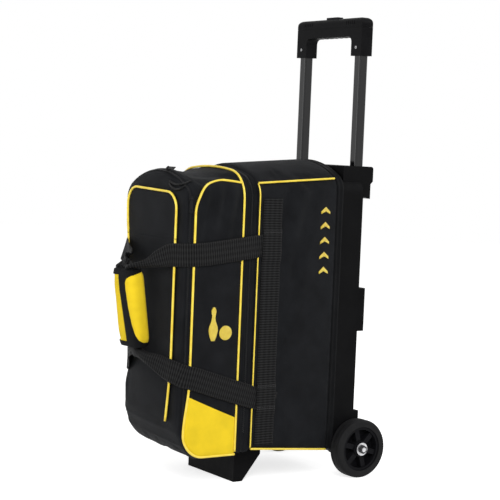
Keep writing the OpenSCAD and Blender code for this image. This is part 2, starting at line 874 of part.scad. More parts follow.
module tube_plugs() {
    core = tube_w / 2 - tube_wall - 0.2;
    color("dimgray") place() for (side = [-1, 1]) translate([side * tube_x, rear_y, 0]) {
        tall(inner_tube_low - 12, inner_tube_low - 0.05)
            translate([-tube_w / 2 - 0.1, -tube_w / 2 - 0.1]) square(tube_w + 0.2);
        tall(inner_tube_low - 1, inner_tube_low + 12)
            rounded(-core, -core, core, core, 2.5);
    }
}

socket_w = 36;
button_w = 44;
button_d = 17;

// The grip's outline seen from the front: a bar with a socket at each end.
module grip_outline() {
    r = 14;
    z0 = grip_top_z - grip_bar;
    difference() {
        union() {
            rounded(-grip_w / 2, grip_low, grip_w / 2, grip_top_z, r);
            for (side = [-1, 1])
                translate([side * (grip_w / 2 - socket_w / 2) - socket_w / 2, grip_low]) square([socket_w, 30]);
        }
        rounded(-grip_w / 2 + socket_w, grip_low - 60, grip_w / 2 - socket_w, z0, 12);
    }
}

module grip_form() {
    intersection() {
        deep(rear_y - grip_t / 2, rear_y + grip_t / 2) grip_outline();
        across(big) rounded(rear_y - grip_t / 2, grip_low - 20, rear_y + grip_t / 2, grip_top_z, 10);
    }
}

module grip_top() {
    color("#222327") place() difference() {
        grip_form();
        translate([-big / 2, 0, 0]) cube([big, big, grip_mid_z + seat]);
        translate([-button_w / 2, rear_y - button_d / 2, 0]) cube([button_w, button_d, big]);
        for (side = [-1, 1], i = [-2 : 2])
            translate([side * 78 + i * 7 - 1, rear_y - grip_t / 2 - 1, grip_mid_z + 6]) cube([2, 2, 10]);
    }
}

module grip_under() {
    color("#1f2024") place() difference() {
        grip_form();
        translate([-big / 2, 0, grip_mid_z]) cube(big);
        for (side = [-1, 1]) translate([side * tube_x, rear_y, 0])
            tall(0, grip_low + 22.3) square(tube_w + 0.6, center = true);
        for (i = [-3 : 3]) translate([i * 18, rear_y, grip_top_z - grip_bar - 1.5]) rotate([90, 0, 0])
            cylinder(d = 9, h = big, center = true);
    }
}

module grip_screws() {
    color("silver") place() for (side = [-1, 1])
        translate([side * tube_x, rear_y - grip_t / 2, grip_low + 18]) rotate([90, 0, 0]) screw_head(6, 1);
}

module release_button() {
    color("#2e2f34") place()
        tall(grip_mid_z + 7, grip_top_z + button_rise)
            rounded(-button_w / 2 + seat, rear_y - button_d / 2 + seat,
                button_w / 2 - seat, rear_y + button_d / 2 - seat, 3);
}

// ---- zip sliders and pull tabs ----

bar_up = 6.2;                 // height of a slider's bar over its base
bar_d = 2.4;

// A slider on a surface at z = 0 that runs along x, with a bar for the tab.
module slider() {
    translate([-slider_len / 2, -4, 0]) cube([slider_len, 8, 3]);
    for (side = [-1, 1])
        translate([-1.6, side * 3.3 - 0.7, 2.5]) cube([3.2, 1.4, bar_up - 1]);
    translate([0, 0, bar_up]) rotate([90, 0, 0]) cylinder(d = bar_d, h = 7, center = true);
}

module tab() {
    translate([0, 0, bar_up]) difference() {
        union() {
            rotate([90, 0, 0]) cylinder(d = 5.2, h = 4.6, center = true);
            translate([0, -2.3, -0.8]) cube([4, 4.6, 1.6]);
            translate([3.4, -3.5, -0.8]) cube([tab_len - 3.4, 7, 1.6]);
        }
        rotate([90, 0, 0]) cylinder(d = bar_d + 2 * running_gap, h = 9, center = true);
        translate([tab_len - 5, 0, 0]) cylinder(d = 3, h = 4, center = true);
    }
}

side_slider_z = 600;
top_slider_x = 40;
side_turn = asin((front_round - (zip_y - front_y0)) / front_round);
top_turn = asin((front_nose - (zip_y - front_y0)) / front_nose);

module at_side_slider() {
    r = front_round + zip_proud + seat;
    place() translate([front_half - front_round + r * cos(side_turn),
        front_y0 + front_round - r * sin(side_turn), side_slider_z])
        rotate([0, 0, -side_turn]) rotate([0, 90, 0]) children();
}

module at_top_slider() {
    r = front_nose + zip_proud + seat;
    place() translate([top_slider_x, front_y0 + front_nose - r * sin(top_turn),
        front_crest - front_nose + r * cos(top_turn)]) rotate([top_turn, 0, 0]) children();
}

module at_main_slider() {
    place() mirror([1, 0, 0])
        translate([gusset_half + zip_proud + seat, (gusset_y + main_y) / 2, side_slider_z])
        rotate([0, 90, 0]) children();
}

module side_slider() { color("dimgray") at_side_slider() slider(); }
module side_tab() { color("dimgray") at_side_slider() tab(); }
module top_slider() { color("dimgray") at_top_slider() slider(); }
module top_tab() { color("dimgray") at_top_slider() tab(); }
module main_slider() { color("dimgray") at_main_slider() slider(); }
module main_tab() { color("dimgray") at_main_slider() tab(); }

back_shell();
shell_binding();
top_housing();
outer_tube(1);  // outer_tube_near
outer_tube(-1);  // outer_tube_far
mid_bracket();
axle_housing();
axle();
axle_washers();
axle_nuts();
bracket_screws();
foot();
foot_screws();
main_body();
base_board();
divider_shelf();
ball_cup_lower();
ball_cup_upper();
zip_gusset();
main_zip();
front_section();
front_zip();
front_panel();
panel_piping();
front_flap();
flap_piping();
pocket(1);  // pocket_near
pocket(-1);  // pocket_far
accent(1);  // accent_near
accent(-1);  // accent_far
pocket_piping(1);  // pocket_piping_near
pocket_piping(-1);  // pocket_piping_far
section_piping();
main_piping(1);  // main_piping_near
main_piping(-1);  // main_piping_far
side_band(1);  // side_band_near
side_band(-1);  // side_band_far
strap(1);  // strap_near
strap(-1);  // strap_far
handle_wrap();
wrap_flap();
tyre(1);  // tyre_near
rim(1);  // rim_near
bush(1);  // bush_near
tyre(-1);  // tyre_far
rim(-1);  // rim_far
bush(-1);  // bush_far
inner_tube(1);  // inner_tube_near
inner_tube(-1);  // inner_tube_far
tube_plugs();
grip_top();
grip_under();
grip_screws();
release_button();
side_slider();
side_tab();
top_slider();
top_tab();
main_slider();
main_tab();
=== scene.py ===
"""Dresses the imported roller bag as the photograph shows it: sewn fabric, webbing, piping, zips and mouldings.

Metres, +Z up, the front of the bag faces -Y. The CAD model is the frame: places come from its nodes, from
the image points or from the values named in each section.
"""
import math

import bmesh
import bpy
import numpy as np
from mathutils import Matrix, Vector
from mathutils.bvhtree import BVHTree


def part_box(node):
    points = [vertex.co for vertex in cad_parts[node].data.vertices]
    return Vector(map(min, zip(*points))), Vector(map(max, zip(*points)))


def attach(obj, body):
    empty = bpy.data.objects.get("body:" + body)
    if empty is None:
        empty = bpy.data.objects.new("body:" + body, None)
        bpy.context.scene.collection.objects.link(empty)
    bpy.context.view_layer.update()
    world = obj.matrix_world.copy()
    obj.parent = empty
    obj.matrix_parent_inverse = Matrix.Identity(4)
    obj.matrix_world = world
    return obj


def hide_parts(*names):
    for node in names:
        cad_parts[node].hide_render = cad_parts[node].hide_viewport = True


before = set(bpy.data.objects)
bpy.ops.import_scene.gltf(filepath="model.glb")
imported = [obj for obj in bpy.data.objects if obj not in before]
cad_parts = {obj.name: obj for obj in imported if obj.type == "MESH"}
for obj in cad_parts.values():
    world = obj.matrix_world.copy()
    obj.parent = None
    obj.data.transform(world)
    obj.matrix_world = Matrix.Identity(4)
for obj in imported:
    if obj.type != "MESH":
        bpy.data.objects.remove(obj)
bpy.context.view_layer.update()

# ---- View ----
# The photograph's camera: a long lens, turned 56 degrees to the near side and rolled a little.
# The points are the edges of the bag and features on it, in the photograph's own pixels.

picture_w = picture_h = 500
image_points = {
    "left edge": (114.8, None),
    "right edge": (384.0, None),
    "top edge": (None, 17.9),
    "bottom edge": (None, 485.3),
    "wheel": (360.8, 448.4),
    "near socket screw": (355.5, 48.5),
    "button": (334.0, 18.6),
    "upper webbing stitches": (273.0, 231.0),
    "lower webbing stitches": (266.8, 385.0),
    "webbing end stitches": (265.3, 407.0),
    "pocket motif": (218.4, 324.0),
    "side motif": (324.5, 241.0),
    "coloured panel": (211.0, 430.0),
}
azimuth, elevation, roll = (math.radians(a) for a in (56.48, 3.96, 2.34))
camera_place = Vector((2.77948, -1.81425, 0.71601))
lens_mm, sensor_mm = 110.686, 36.0

ahead = Vector((-math.sin(azimuth) * math.cos(elevation), math.cos(azimuth) * math.cos(elevation),
                -math.sin(elevation)))
level = Vector((math.cos(azimuth), math.sin(azimuth), 0))
lift = level.cross(ahead)
right = level * math.cos(roll) + lift * math.sin(roll)
upward = lift * math.cos(roll) - level * math.sin(roll)

camera_data = bpy.data.cameras.new("camera")
camera_data.lens = lens_mm
camera_data.sensor_width = sensor_mm
camera_data.sensor_fit = "AUTO"
camera = bpy.data.objects.new("camera", camera_data)
camera.matrix_world = Matrix.Translation(camera_place) @ Matrix((right, upward, -ahead)).transposed().to_4x4()
bpy.context.scene.collection.objects.link(camera)
bpy.context.scene.camera = camera
bpy.context.scene.view_settings.view_transform = "Standard"


def tree_of(obj):
    """Search tree over a finished piece's faces, as placed."""
    return BVHTree.FromObject(obj, bpy.context.evaluated_depsgraph_get())


def seen_at(point, trees):
    """Where the ray through an image point first meets any of the trees, or their place nearest the ray."""
    long_side = max(picture_w, picture_h)
    ray = (right * (point[0] - picture_w / 2) + upward * (picture_h / 2 - point[1])
           + ahead * long_side * lens_mm / sensor_mm).normalized()
    met = [hit for hit in (tree.ray_cast(camera_place, ray) for tree in trees) if hit[0] is not None]
    if met:
        return min(met, key=lambda hit: hit[3])[:2]
    along = [camera_place + ray * d for d in np.linspace(2.5, 4.5, 200)]
    return min((tree.find_nearest(p) for tree in trees for p in along), key=lambda hit: hit[3])[:2]


def pixels(places):
    """Image x and y of rows of places: their offsets in the camera's axes over their distance ahead."""
    offset = np.asarray(places) - np.array(camera_place)
    scale = max(picture_w, picture_h) * lens_mm / sensor_mm / (offset @ np.array(ahead))
    return np.stack([picture_w / 2 + offset @ np.array(right) * scale,
                     picture_h / 2 - offset @ np.array(upward) * scale], axis=1)


# ---- Studio ----
# A white floor and surround with two large soft lights and a dim grey sky.
# What the camera, gloss and glass see of the surround is white.

def node(tree, kind, links=None, **settings):
    """A shader node with its settings, and its inputs set from values or from other nodes' outputs."""
    made = tree.nodes.new(kind)
    for name, value in settings.items():
        setattr(made, name, value)
    for socket, value in (links or {}).items():
        if isinstance(value, bpy.types.NodeSocket):
            tree.links.new(value, made.inputs[socket])
        else:
            made.inputs[socket].default_value = value
    return made


def white_to_rays(tree):
    """1 for rays that show the surround, from the camera, off gloss or through glass, and 0 for light."""
    path = node(tree, "ShaderNodeLightPath").outputs
    either = node(tree, "ShaderNodeMath", {0: path["Is Camera Ray"], 1: path["Is Glossy Ray"]},
                  operation="MAXIMUM")
    return node(tree, "ShaderNodeMath", {0: either.outputs[0], 1: path["Is Transmission Ray"]},
                operation="MAXIMUM").outputs[0]


world = bpy.data.worlds.new("studio")
bpy.context.scene.world = world
world.use_nodes = True
world.node_tree.nodes.clear()
sky_light = 0.34
sky_strength = node(world.node_tree, "ShaderNodeMapRange", {"Value": white_to_rays(world.node_tree),
                                                            "To Min": sky_light, "To Max": 1.0})
sky = node(world.node_tree, "ShaderNodeBackground", {"Color": (1, 1, 1, 1),
                                                     "Strength": sky_strength.outputs[0]})
node(world.node_tree, "ShaderNodeOutputWorld", {"Surface": sky.outputs[0]})

floor_reach = 9.0
turn = np.linspace(0, 2 * math.pi, 96, endpoint=False)
floor_mesh = bpy.data.meshes.new("floor")
floor_mesh.from_pydata([(floor_reach * math.cos(a), floor_reach * math.sin(a), 0) for a in turn], [],
                       [list(range(len(turn)))])
floor = bpy.data.objects.new("floor", floor_mesh)
bpy.context.scene.collection.objects.link(floor)
floor_paint = bpy.data.materials.new("white_floor")
floor_paint.use_nodes = True
floor_tree = floor_paint.node_tree
floor_tree.nodes.clear()
floor_shown = 0.75
floor_glow = node(floor_tree, "ShaderNodeMapRange", {"Value": white_to_rays(floor_tree), "To Min": 0.0,
                                                     "To Max": floor_shown})
floor_coat = node(floor_tree, "ShaderNodeBsdfDiffuse", {"Color": (0.8, 0.8, 0.8, 1)})
floor_light = node(floor_tree, "ShaderNodeEmission", {"Color": (1, 1, 1, 1),
                                                      "Strength": floor_glow.outputs[0]})
floor_sum = node(floor_tree, "ShaderNodeAddShader", {0: floor_coat.outputs[0], 1: floor_light.outputs[0]})
node(floor_tree, "ShaderNodeOutputMaterial", {"Surface": floor_sum.outputs[0]})
floor_mesh.materials.append(floor_paint)

aim = Vector((0, 0, 0.45))
for lamp_name, lamp_place, lamp_side, lamp_watts in (
        ("key", Vector((3.1, -1.7, 2.3)), 2.0, 112),
        ("fill", Vector((-1.2, -3.6, 1.7)), 2.4, 42),
        ("rear", Vector((1.2, 3.4, 2.2)), 2.2, 55)):
    lamp_data = bpy.data.lights.new(lamp_name, "AREA")
    lamp_data.shape = "SQUARE"
    lamp_data.size = lamp_side
    lamp_data.energy = lamp_watts
    lamp = bpy.data.objects.new(lamp_name, lamp_data)
    lamp.location = lamp_place
    lamp.rotation_euler = (aim - lamp_place).to_track_quat("-Z", "Y").to_euler()
    bpy.context.scene.collection.objects.link(lamp)


# ---- Mouldings ----
# The back shell, its housings and brackets and the foot are black injection mouldings with a fine spark
# grain. They are the CAD nodes as they stand.

def surface(name, colour, roughness, **sockets):
    """A material with a Principled surface, its constant sockets set; returns it, its tree and that node."""
    paint = bpy.data.materials.new(name)
    paint.use_nodes = True
    tree = paint.node_tree
    tree.nodes.clear()
    coat = node(tree, "ShaderNodeBsdfPrincipled", {"Base Color": (*colour, 1), "Roughness": roughness,
                                                   **sockets})
    node(tree, "ShaderNodeOutputMaterial", {"Surface": coat.outputs[0]})
    return paint, tree, coat


def mottle(tree, coat, socket, where, scale, low, high, detail=4.0):
    """Varies a socket between two values or colours by noise over a coordinate; returns the noise."""
    noise = node(tree, "ShaderNodeTexNoise", {"Vector": where, "Scale": scale, "Detail": detail})
    if isinstance(low, tuple):
        ramp = node(tree, "ShaderNodeValToRGB", {"Fac": noise.outputs[0]})
        ramp.color_ramp.elements[0].position = 0.3
        ramp.color_ramp.elements[1].position = 0.7
        ramp.color_ramp.elements[0].color = (*low, 1)
        ramp.color_ramp.elements[1].color = (*high, 1)
    else:
        ramp = node(tree, "ShaderNodeMapRange", {"Value": noise.outputs[0], "From Min": 0.3, "From Max": 0.7,
                                                 "To Min": low, "To Max": high})
    tree.links.new(ramp.outputs[0], coat.inputs[socket])
    return noise.outputs[0]


def grain(tree, coat, height, depth, strength=1.0):
    """Bump from a height output, depth metres deep."""
    bump = node(tree, "ShaderNodeBump", {"Height": height, "Distance": depth, "Strength": strength})
    tree.links.new(bump.outputs[0], coat.inputs["Normal"])


def object_place(tree):
    """Object coordinates, which are row-frame metres on every piece."""
    return node(tree, "ShaderNodeTexCoord").outputs["Object"]


def moulded(name, colour, roughness, grain_scale, grain_depth):
    """Grained moulding: uneven colour and gloss at hand size and a fine raised grain."""
    paint, tree, coat = surface(name, colour, roughness, **{"Specular IOR Level": 0.04})
    where = object_place(tree)
    mottle(tree, coat, "Base Color", where, 14.0, tuple(0.8 * c for c in colour),
           tuple(1.25 * c for c in colour))
    mottle(tree, coat, "Roughness", where, 40.0, roughness - 0.06, roughness + 0.08)
    pits = node(tree, "ShaderNodeTexNoise", {"Vector": where, "Scale": grain_scale, "Detail": 2.0})
    grain(tree, coat, pits.outputs[0], grain_depth)
    return paint


def paint_nodes(paint, *names):
    """Gives CAD nodes a material."""
    for name in names:
        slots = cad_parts[name].data.materials
        slots.clear()
        slots.append(paint)


shell_paint = moulded("shell_plastic", (0.003, 0.003, 0.0033), 0.55, 900.0, 0.00025)
paint_nodes(shell_paint, "back_shell", "top_housing", "mid_bracket", "axle_housing", "foot")


# ---- Telescopic handle ----
# Two square steel tubes in black gloss enamel slide in larger ones; the grip is two satin mouldings with a
# release button.

tube_paint, tube_tree, tube_coat = surface("tube_enamel", (0.003, 0.003, 0.0035), 0.14,
                                           **{"Specular IOR Level": 0.36, "Coat Weight": 0.16,
                                              "Coat Roughness": 0.05})
tube_where = node(tube_tree, "ShaderNodeMapping", {"Vector": object_place(tube_tree), "Scale": (260, 260, 9)})
tube_noise = mottle(tube_tree, tube_coat, "Roughness", tube_where.outputs[0], 1.0, 0.08, 0.18)
grain(tube_tree, tube_coat, tube_noise, 0.0001)
paint_nodes(tube_paint, "outer_tube_near", "outer_tube_far", "inner_tube_near", "inner_tube_far")

grip_paint = moulded("grip_plastic", (0.004, 0.004, 0.0045), 0.36, 1400.0, 0.00012)
paint_nodes(grip_paint, "grip_top", "grip_under", "tube_plugs")
button_paint = moulded("button_plastic", (0.012, 0.012, 0.014), 0.3, 1100.0, 0.00008)
paint_nodes(button_paint, "release_button")


# ---- Wheels ----
# Solid rubber tyres on spoked nylon rims, on a plated steel axle with washers and nuts.

tyre_paint, tyre_tree, tyre_coat = surface("tyre_rubber", (0.007, 0.007, 0.0075), 0.7,
                                            **{"Specular IOR Level": 0.12})
tyre_where = object_place(tyre_tree)
mottle(tyre_tree, tyre_coat, "Base Color", tyre_where, 30.0, (0.005, 0.005, 0.0055), (0.010, 0.010, 0.0105))
tyre_grit = node(tyre_tree, "ShaderNodeTexNoise", {"Vector": tyre_where, "Scale": 1200.0, "Detail": 3.0})
grain(tyre_tree, tyre_coat, tyre_grit.outputs[0], 0.0002)
paint_nodes(tyre_paint, "tyre_near", "tyre_far")

rim_paint = moulded("rim_nylon", (0.006, 0.006, 0.007), 0.42, 1000.0, 0.00012)
paint_nodes(rim_paint, "rim_near", "rim_far")
bush_paint = moulded("bush_nylon", (0.55, 0.52, 0.44), 0.45, 900.0, 0.0001)
paint_nodes(bush_paint, "bush_near", "bush_far")

steel_paint, steel_tree, steel_coat = surface("plated_steel", (0.5, 0.5, 0.51), 0.34, Metallic=1.0)
steel_where = object_place(steel_tree)
mottle(steel_tree, steel_coat, "Base Color", steel_where, 160.0, (0.36, 0.36, 0.37), (0.62, 0.62, 0.63))
steel_lines = node(steel_tree, "ShaderNodeMapping", {"Vector": steel_where, "Scale": (3000, 120, 120)})
steel_noise = node(steel_tree, "ShaderNodeTexNoise", {"Vector": steel_lines.outputs[0], "Scale": 1.0})
grain(steel_tree, steel_coat, steel_noise.outputs[0], 0.00005)
paint_nodes(steel_paint, "axle", "axle_washers", "bracket_screws", "foot_screws", "grip_screws")

nut_paint, nut_tree, nut_coat = surface("blacked_steel", (0.03, 0.03, 0.032), 0.4, Metallic=1.0)
nut_where = object_place(nut_tree)
mottle(nut_tree, nut_coat, "Base Color", nut_where, 260.0, (0.012, 0.012, 0.013), (0.07, 0.07, 0.072))
nut_pits = node(nut_tree, "ShaderNodeTexNoise", {"Vector": nut_where, "Scale": 900.0})
grain(nut_tree, nut_coat, nut_pits.outputs[0], 0.0001)
paint_nodes(nut_paint, "axle_nuts")


# ---- Main section ----
# Padded polyester over two balls, sewn from a top, a bottom and two sides. A cloth simulation puffs it out
# between its seams, and it is stretched from the gusset to the back shell.

def depth(d):
    """Y of a place d metres behind the front panel's face."""
    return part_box("front_panel")[0].y + d


def bag_outline(half, low, top, corner, crown, foot, counts):
    """Outline of the bag seen from the front, a row for each station: half the bottom, a round lower corner,
    the upright side, a round top corner and half the crown, each sampled evenly, then their mirror image."""
    half, low, top, corner, crown, foot = (
        v.reshape(-1, 1) for v in np.broadcast_arrays(half, low, top, corner, crown, foot))
    flat = half - corner
    reach = (flat ** 2 + crown ** 2) / (2 * crown)
    lean = np.arcsin(flat / reach)
    bottom, lower, side, upper, roof = (np.linspace(0, 1, n, endpoint=False)[None] for n in counts)
    quarter = math.pi / 2
    x = [(half - foot) * bottom, half - foot + foot * np.sin(quarter * lower), half + 0 * side,
         flat + corner * np.cos((quarter - lean) * upper), (reach + corner) * np.sin(lean * (1 - roof))]
    z = [low + 0 * bottom, low + foot - foot * np.cos(quarter * lower),
         low + foot + (top - corner - low - foot) * side,
         top - corner + corner * np.sin((quarter - lean) * upper),
         top + crown - reach - corner + (reach + corner) * np.cos(lean * (1 - roof))]
    x, z = np.hstack(x + [0 * half]), np.hstack(z + [top + crown])
    return np.hstack([x, -x[:, -2:0:-1]]), np.hstack([z, z[:, -2:0:-1]])


def normals_of(points, around=True):
    """Outward unit normals of a grid of places, from the cross product of its two directions."""
    if around:
        across = np.roll(points, -1, 1) - np.roll(points, 1, 1)
    else:
        across = np.gradient(points, axis=1)
    along = np.gradient(points, axis=0)
    normal = np.cross(along, across)
    return normal / np.maximum(np.linalg.norm(normal, axis=2, keepdims=True), 1e-9)


def weld(mesh):
    """Joins vertices that lie together, and turns every face of the closed piece outwards."""
    welded = bmesh.new()
    welded.from_mesh(mesh)
    bmesh.ops.remove_doubles(welded, verts=welded.verts, dist=1e-6)
    bmesh.ops.recalc_face_normals(welded, faces=welded.faces)
    welded.to_mesh(mesh)
    welded.free()


def grid_piece(name, points, around=True, capped=False, flip=False):
    """A piece from a grid of places: rows of quads, joined round where around is set, with each end drawn
    together to a point where capped is set. An open piece's faces look the way of the cross product of its
    rows' direction and its columns', or the other way where flip is set. Its UV map holds metres of cloth."""
    rows, columns = points.shape[:2]
    if capped:
        ends = [points[[i]] * (1 - k) + points[i].mean(0) * k for i, k in ((0, 1.0), (0, 0.5), (0, 0.08),
                                                                           (-1, 0.08), (-1, 0.5), (-1, 1.0))]
        points = np.concatenate(ends[:3] + [points] + ends[3:])
        rows += 6
    loop = np.concatenate([points, points[:, :1]], 1) if around else points
    step_u = np.linalg.norm(np.diff(loop, axis=1), axis=2)
    step_v = np.linalg.norm(np.diff(loop, axis=0), axis=2)
    u = np.concatenate([np.zeros((rows, 1)), np.cumsum(step_u, 1)], 1)
    u = np.broadcast_to(u[rows // 2], u.shape)
    v = np.concatenate([np.zeros((1, loop.shape[1])), np.cumsum(step_v, 0)], 0)
    v = np.broadcast_to(v.mean(1, keepdims=True), v.shape)
    width = loop.shape[1] - 1
    i, j = np.meshgrid(np.arange(rows - 1), np.arange(width), indexing="ij")
    i, j = i.ravel(), j.ravel()
    after = (j + 1) % columns
    corners = np.stack([i * columns + j, i * columns + after,
                        (i + 1) * columns + after, (i + 1) * columns + j], 1)
    uv_corners = np.stack([i * (width + 1) + j, i * (width + 1) + j + 1,
                           (i + 1) * (width + 1) + j + 1, (i + 1) * (width + 1) + j], 1)
    if not flip:
        corners, uv_corners = corners[:, ::-1], uv_corners[:, ::-1]
    mesh = bpy.data.meshes.new(name)
    mesh.from_pydata(points.reshape(-1, 3).tolist(), [], corners.tolist())
    mesh.uv_layers.new(name="cloth").data.foreach_set(
        "uv", np.stack([u.ravel()[uv_corners], v.ravel()[uv_corners]], 2).astype(np.float32).ravel())
    mesh.polygons.foreach_set("use_smooth", np.ones(len(mesh.polygons), bool))
    obj = bpy.data.objects.new(name, mesh)
    bpy.context.scene.collection.objects.link(obj)
    if capped:
        weld(mesh)
    return obj


def places(obj):
    """The vertices of a mesh as rows of x, y, z."""
    found = np.empty(len(obj.data.vertices) * 3, np.float32)
    obj.data.vertices.foreach_get("co", found)
    return found.reshape(-1, 3).astype(float)


def puff(obj, held, pressure, most):
    """Blows a closed sewn piece up as padding does: a cloth simulation with the held vertices sewn down and
    no gravity, after which no vertex is more than `most` metres from where it was cut."""
    cut = places(obj)
    sewn = obj.vertex_groups.new(name="sewn")
    sewn.add(np.nonzero(held)[0].tolist(), 1.0, "REPLACE")
    cloth = obj.modifiers.new("padding", "CLOTH")
    cloth.settings.quality = 4
    cloth.settings.mass = 0.3
    cloth.settings.tension_stiffness = cloth.settings.compression_stiffness = 12
    cloth.settings.bending_stiffness = 0.4
    cloth.settings.shrink_min = -0.012
    cloth.settings.use_pressure = True
    cloth.settings.uniform_pressure_force = pressure
    cloth.settings.vertex_group_mass = "sewn"
    cloth.settings.effector_weights.gravity = 0
    cloth.collision_settings.use_collision = False
    last_frame = 20
    for number in range(1, last_frame + 1):
        bpy.context.scene.frame_set(number)
    settled = obj.evaluated_get(bpy.context.evaluated_depsgraph_get()).to_mesh()
    found = np.empty(len(settled.vertices) * 3, np.float32)
    settled.vertices.foreach_get("co", found)
    move = found.reshape(-1, 3) - cut
    far = np.linalg.norm(move, axis=1, keepdims=True)
    obj.modifiers.remove(cloth)
    obj.vertex_groups.remove(sewn)
    obj.data.vertices.foreach_set("co", (cut + move * np.minimum(1, most / np.maximum(far, 1e-9)))
                                  .astype(np.float32).ravel())
    obj.data.update()
    bpy.context.scene.frame_set(1)


def woven(name, colour, thread, roughness, sheen, fleck=0.25):
    """Plain weave on the cloth's own UV map, in metres: the product of two sines, a thread apart, raises
    every other crossing, and slow noise varies the colour as light wear and dust do."""
    paint, tree, coat = surface(name, colour, roughness, **{"Sheen Weight": sheen, "Sheen Roughness": 0.45,
                                                            "Specular IOR Level": 0.04})
    where = object_place(tree)
    cloth = node(tree, "ShaderNodeUVMap", uv_map="cloth").outputs[0]
    turns = node(tree, "ShaderNodeVectorMath", {0: cloth, 1: (math.pi / thread,) * 3}, operation="MULTIPLY")
    waves = node(tree, "ShaderNodeVectorMath", {0: turns.outputs[0]}, operation="SINE")
    split = node(tree, "ShaderNodeSeparateXYZ", {0: waves.outputs[0]})
    weave = node(tree, "ShaderNodeMath", {0: split.outputs[0], 1: split.outputs[1]}, operation="MULTIPLY")
    fuzz = mottle(tree, coat, "Base Color", where, 26.0, tuple((1 - fleck) * c for c in colour),
                  tuple((1 + fleck) * c for c in colour), detail=8.0)
    height = node(tree, "ShaderNodeMath", {0: weave.outputs[0], 1: fuzz}, operation="ADD")
    grain(tree, coat, height.outputs[0], thread * 0.25, 0.8)
    return paint


def wear(obj, paint):
    """Gives a piece its material."""
    obj.data.materials.append(paint)
    return obj


black_cloth = woven("black_polyester", (0.0082, 0.0087, 0.0100), 0.0007, 0.62, 0.008)

main_front, main_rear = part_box("main_body")[0].y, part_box("main_body")[1].y
bag_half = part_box("main_body")[1].x
side_top, side_low = 0.644, 0.078
rise, fall = math.tan(math.radians(4)), math.tan(math.radians(4.5))
crown, top_corner, lower_corner = 0.026, 0.036, 0.007
main_counts = (17, 3, 74, 7, 17)


def main_outline(y, grown=0.0):
    """The main section's outline at each depth y: the top climbs and the bottom drops towards the rear."""
    back = np.asarray(y) - main_front
    return bag_outline(bag_half + grown, side_low - fall * back - grown, side_top + rise * back + grown,
                       top_corner + grown, crown, lower_corner, main_counts)


def mound(at, middle, width):
    """1 at the middle, fading as a bell: e to the minus square of the distance over the width."""
    return np.exp(-((at - middle) / width) ** 2)


def smooth(share):
    """A smooth step, level at both ends: the share squared times three less twice the share."""
    return share ** 2 * (3 - 2 * share)


def main_wrinkle(x, y, z):
    """How far the cloth stands off its pattern: soft folds that run forward and down from the top corner, a
    slack belly behind the webbing and faint slanting drag lines."""
    back = (y - main_front) / (main_rear - main_front)
    high = np.clip((z - 0.30) / 0.32, 0, 1)
    creases = 0.0050 * np.sin(2 * np.pi * (back * 3.1 - 1.5 * high)) * high * mound(back, 0.46, 0.24)
    belly = 0.0030 * mound(back, 0.66, 0.22) * np.sin(np.pi * np.clip((z - 0.07) / 0.57, 0, 1))
    drag = 0.0007 * np.sin(90 * y + 34 * z) * np.sin(9 * z + 1) * np.sin(np.pi * back)
    return creases + belly + drag


stations = np.linspace(main_front, main_rear, 27)
outline_x, outline_z = main_outline(stations)
main_grid = np.stack([outline_x, np.broadcast_to(stations[:, None], outline_x.shape), outline_z], 2)
on_side = mound(np.abs(outline_x), bag_half, 0.004)
main_grid += normals_of(main_grid) * (main_wrinkle(*np.moveaxis(main_grid, 2, 0)) * on_side)[..., None]
main_fabric = grid_piece("main_fabric", main_grid, capped=True)
main_places = places(main_fabric)
at_side = np.abs(np.abs(main_places[:, 0]) - bag_half) < 0.006
under_webbing = at_side & (np.abs(main_places[:, 1] - depth(0.214)) < 0.034)
at_ends = (main_places[:, 1] < main_front + 0.004) | (main_places[:, 1] > main_rear - 0.004)
puff(main_fabric, under_webbing | at_ends, 2.5, 0.0025)
wear(main_fabric, black_cloth)
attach(main_fabric, "root")
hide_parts("main_body")


# ---- Inside the main section ----
# Stiffener boards under the balls and moulded foam cups that hold them; none of them shows with the zip shut.

board_paint = moulded("board_plastic", (0.045, 0.045, 0.048), 0.6, 500.0, 0.0002)
paint_nodes(board_paint, "base_board", "divider_shelf")
foam_paint = moulded("foam", (0.06, 0.06, 0.063), 0.85, 1800.0, 0.0004)
paint_nodes(foam_paint, "ball_cup_lower", "ball_cup_upper")


# ---- Binding on the back shell ----
# A folded strip of black grosgrain that joins the main section to the moulding, with a ridge where it turns
# over.

binding_cloth = woven("black_binding", (0.0050, 0.0052, 0.0058), 0.0012, 0.55, 0.008)


def close_wall(obj, thickness):
    """Gives a sheet its real thickness, inwards."""
    wall = obj.modifiers.new("wall", "SOLIDIFY")
    wall.thickness = thickness
    wall.offset = -1
    return obj


def ring_piece(name, y_stations, outline, lift, thickness):
    """A band of cloth round the bag: the outline at each depth, `lift` off it, with a wall inwards."""
    x, z = outline(y_stations)
    ring = np.stack([x, np.broadcast_to(y_stations[:, None], x.shape), z], 2)
    ring += normals_of(ring) * np.asarray(lift)[:, None, None]
    return close_wall(grid_piece(name, ring), thickness)


binding_front, binding_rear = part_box("shell_binding")[0].y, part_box("shell_binding")[1].y
stations = np.linspace(binding_front, binding_rear, 15)
part = (stations - binding_front) / (binding_rear - binding_front)
binding_lift = 0.0006 + 0.0011 * mound(part, 0.2, 0.13) + 0.0012 * mound(part, 0.8, 0.16)
binding = ring_piece("shell_edge_binding", stations, main_outline, binding_lift, 0.004)
wear(binding, binding_cloth)
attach(binding, "root")
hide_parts("shell_binding")


# ---- Zip gusset and its zip ----
# A strip of cloth between the two sections, folded over a coil zip that runs round the whole bag.
# The two folds stand up beside the teeth.

gusset_front, gusset_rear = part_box("zip_gusset")[0].y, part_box("zip_gusset")[1].y
gusset_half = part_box("zip_gusset")[1].x
gusset_low, gusset_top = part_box("zip_gusset")[0].z, 0.638
zip_mid = (gusset_front + gusset_rear) / 2
zip_half, gusset_square = 0.003, 0.014


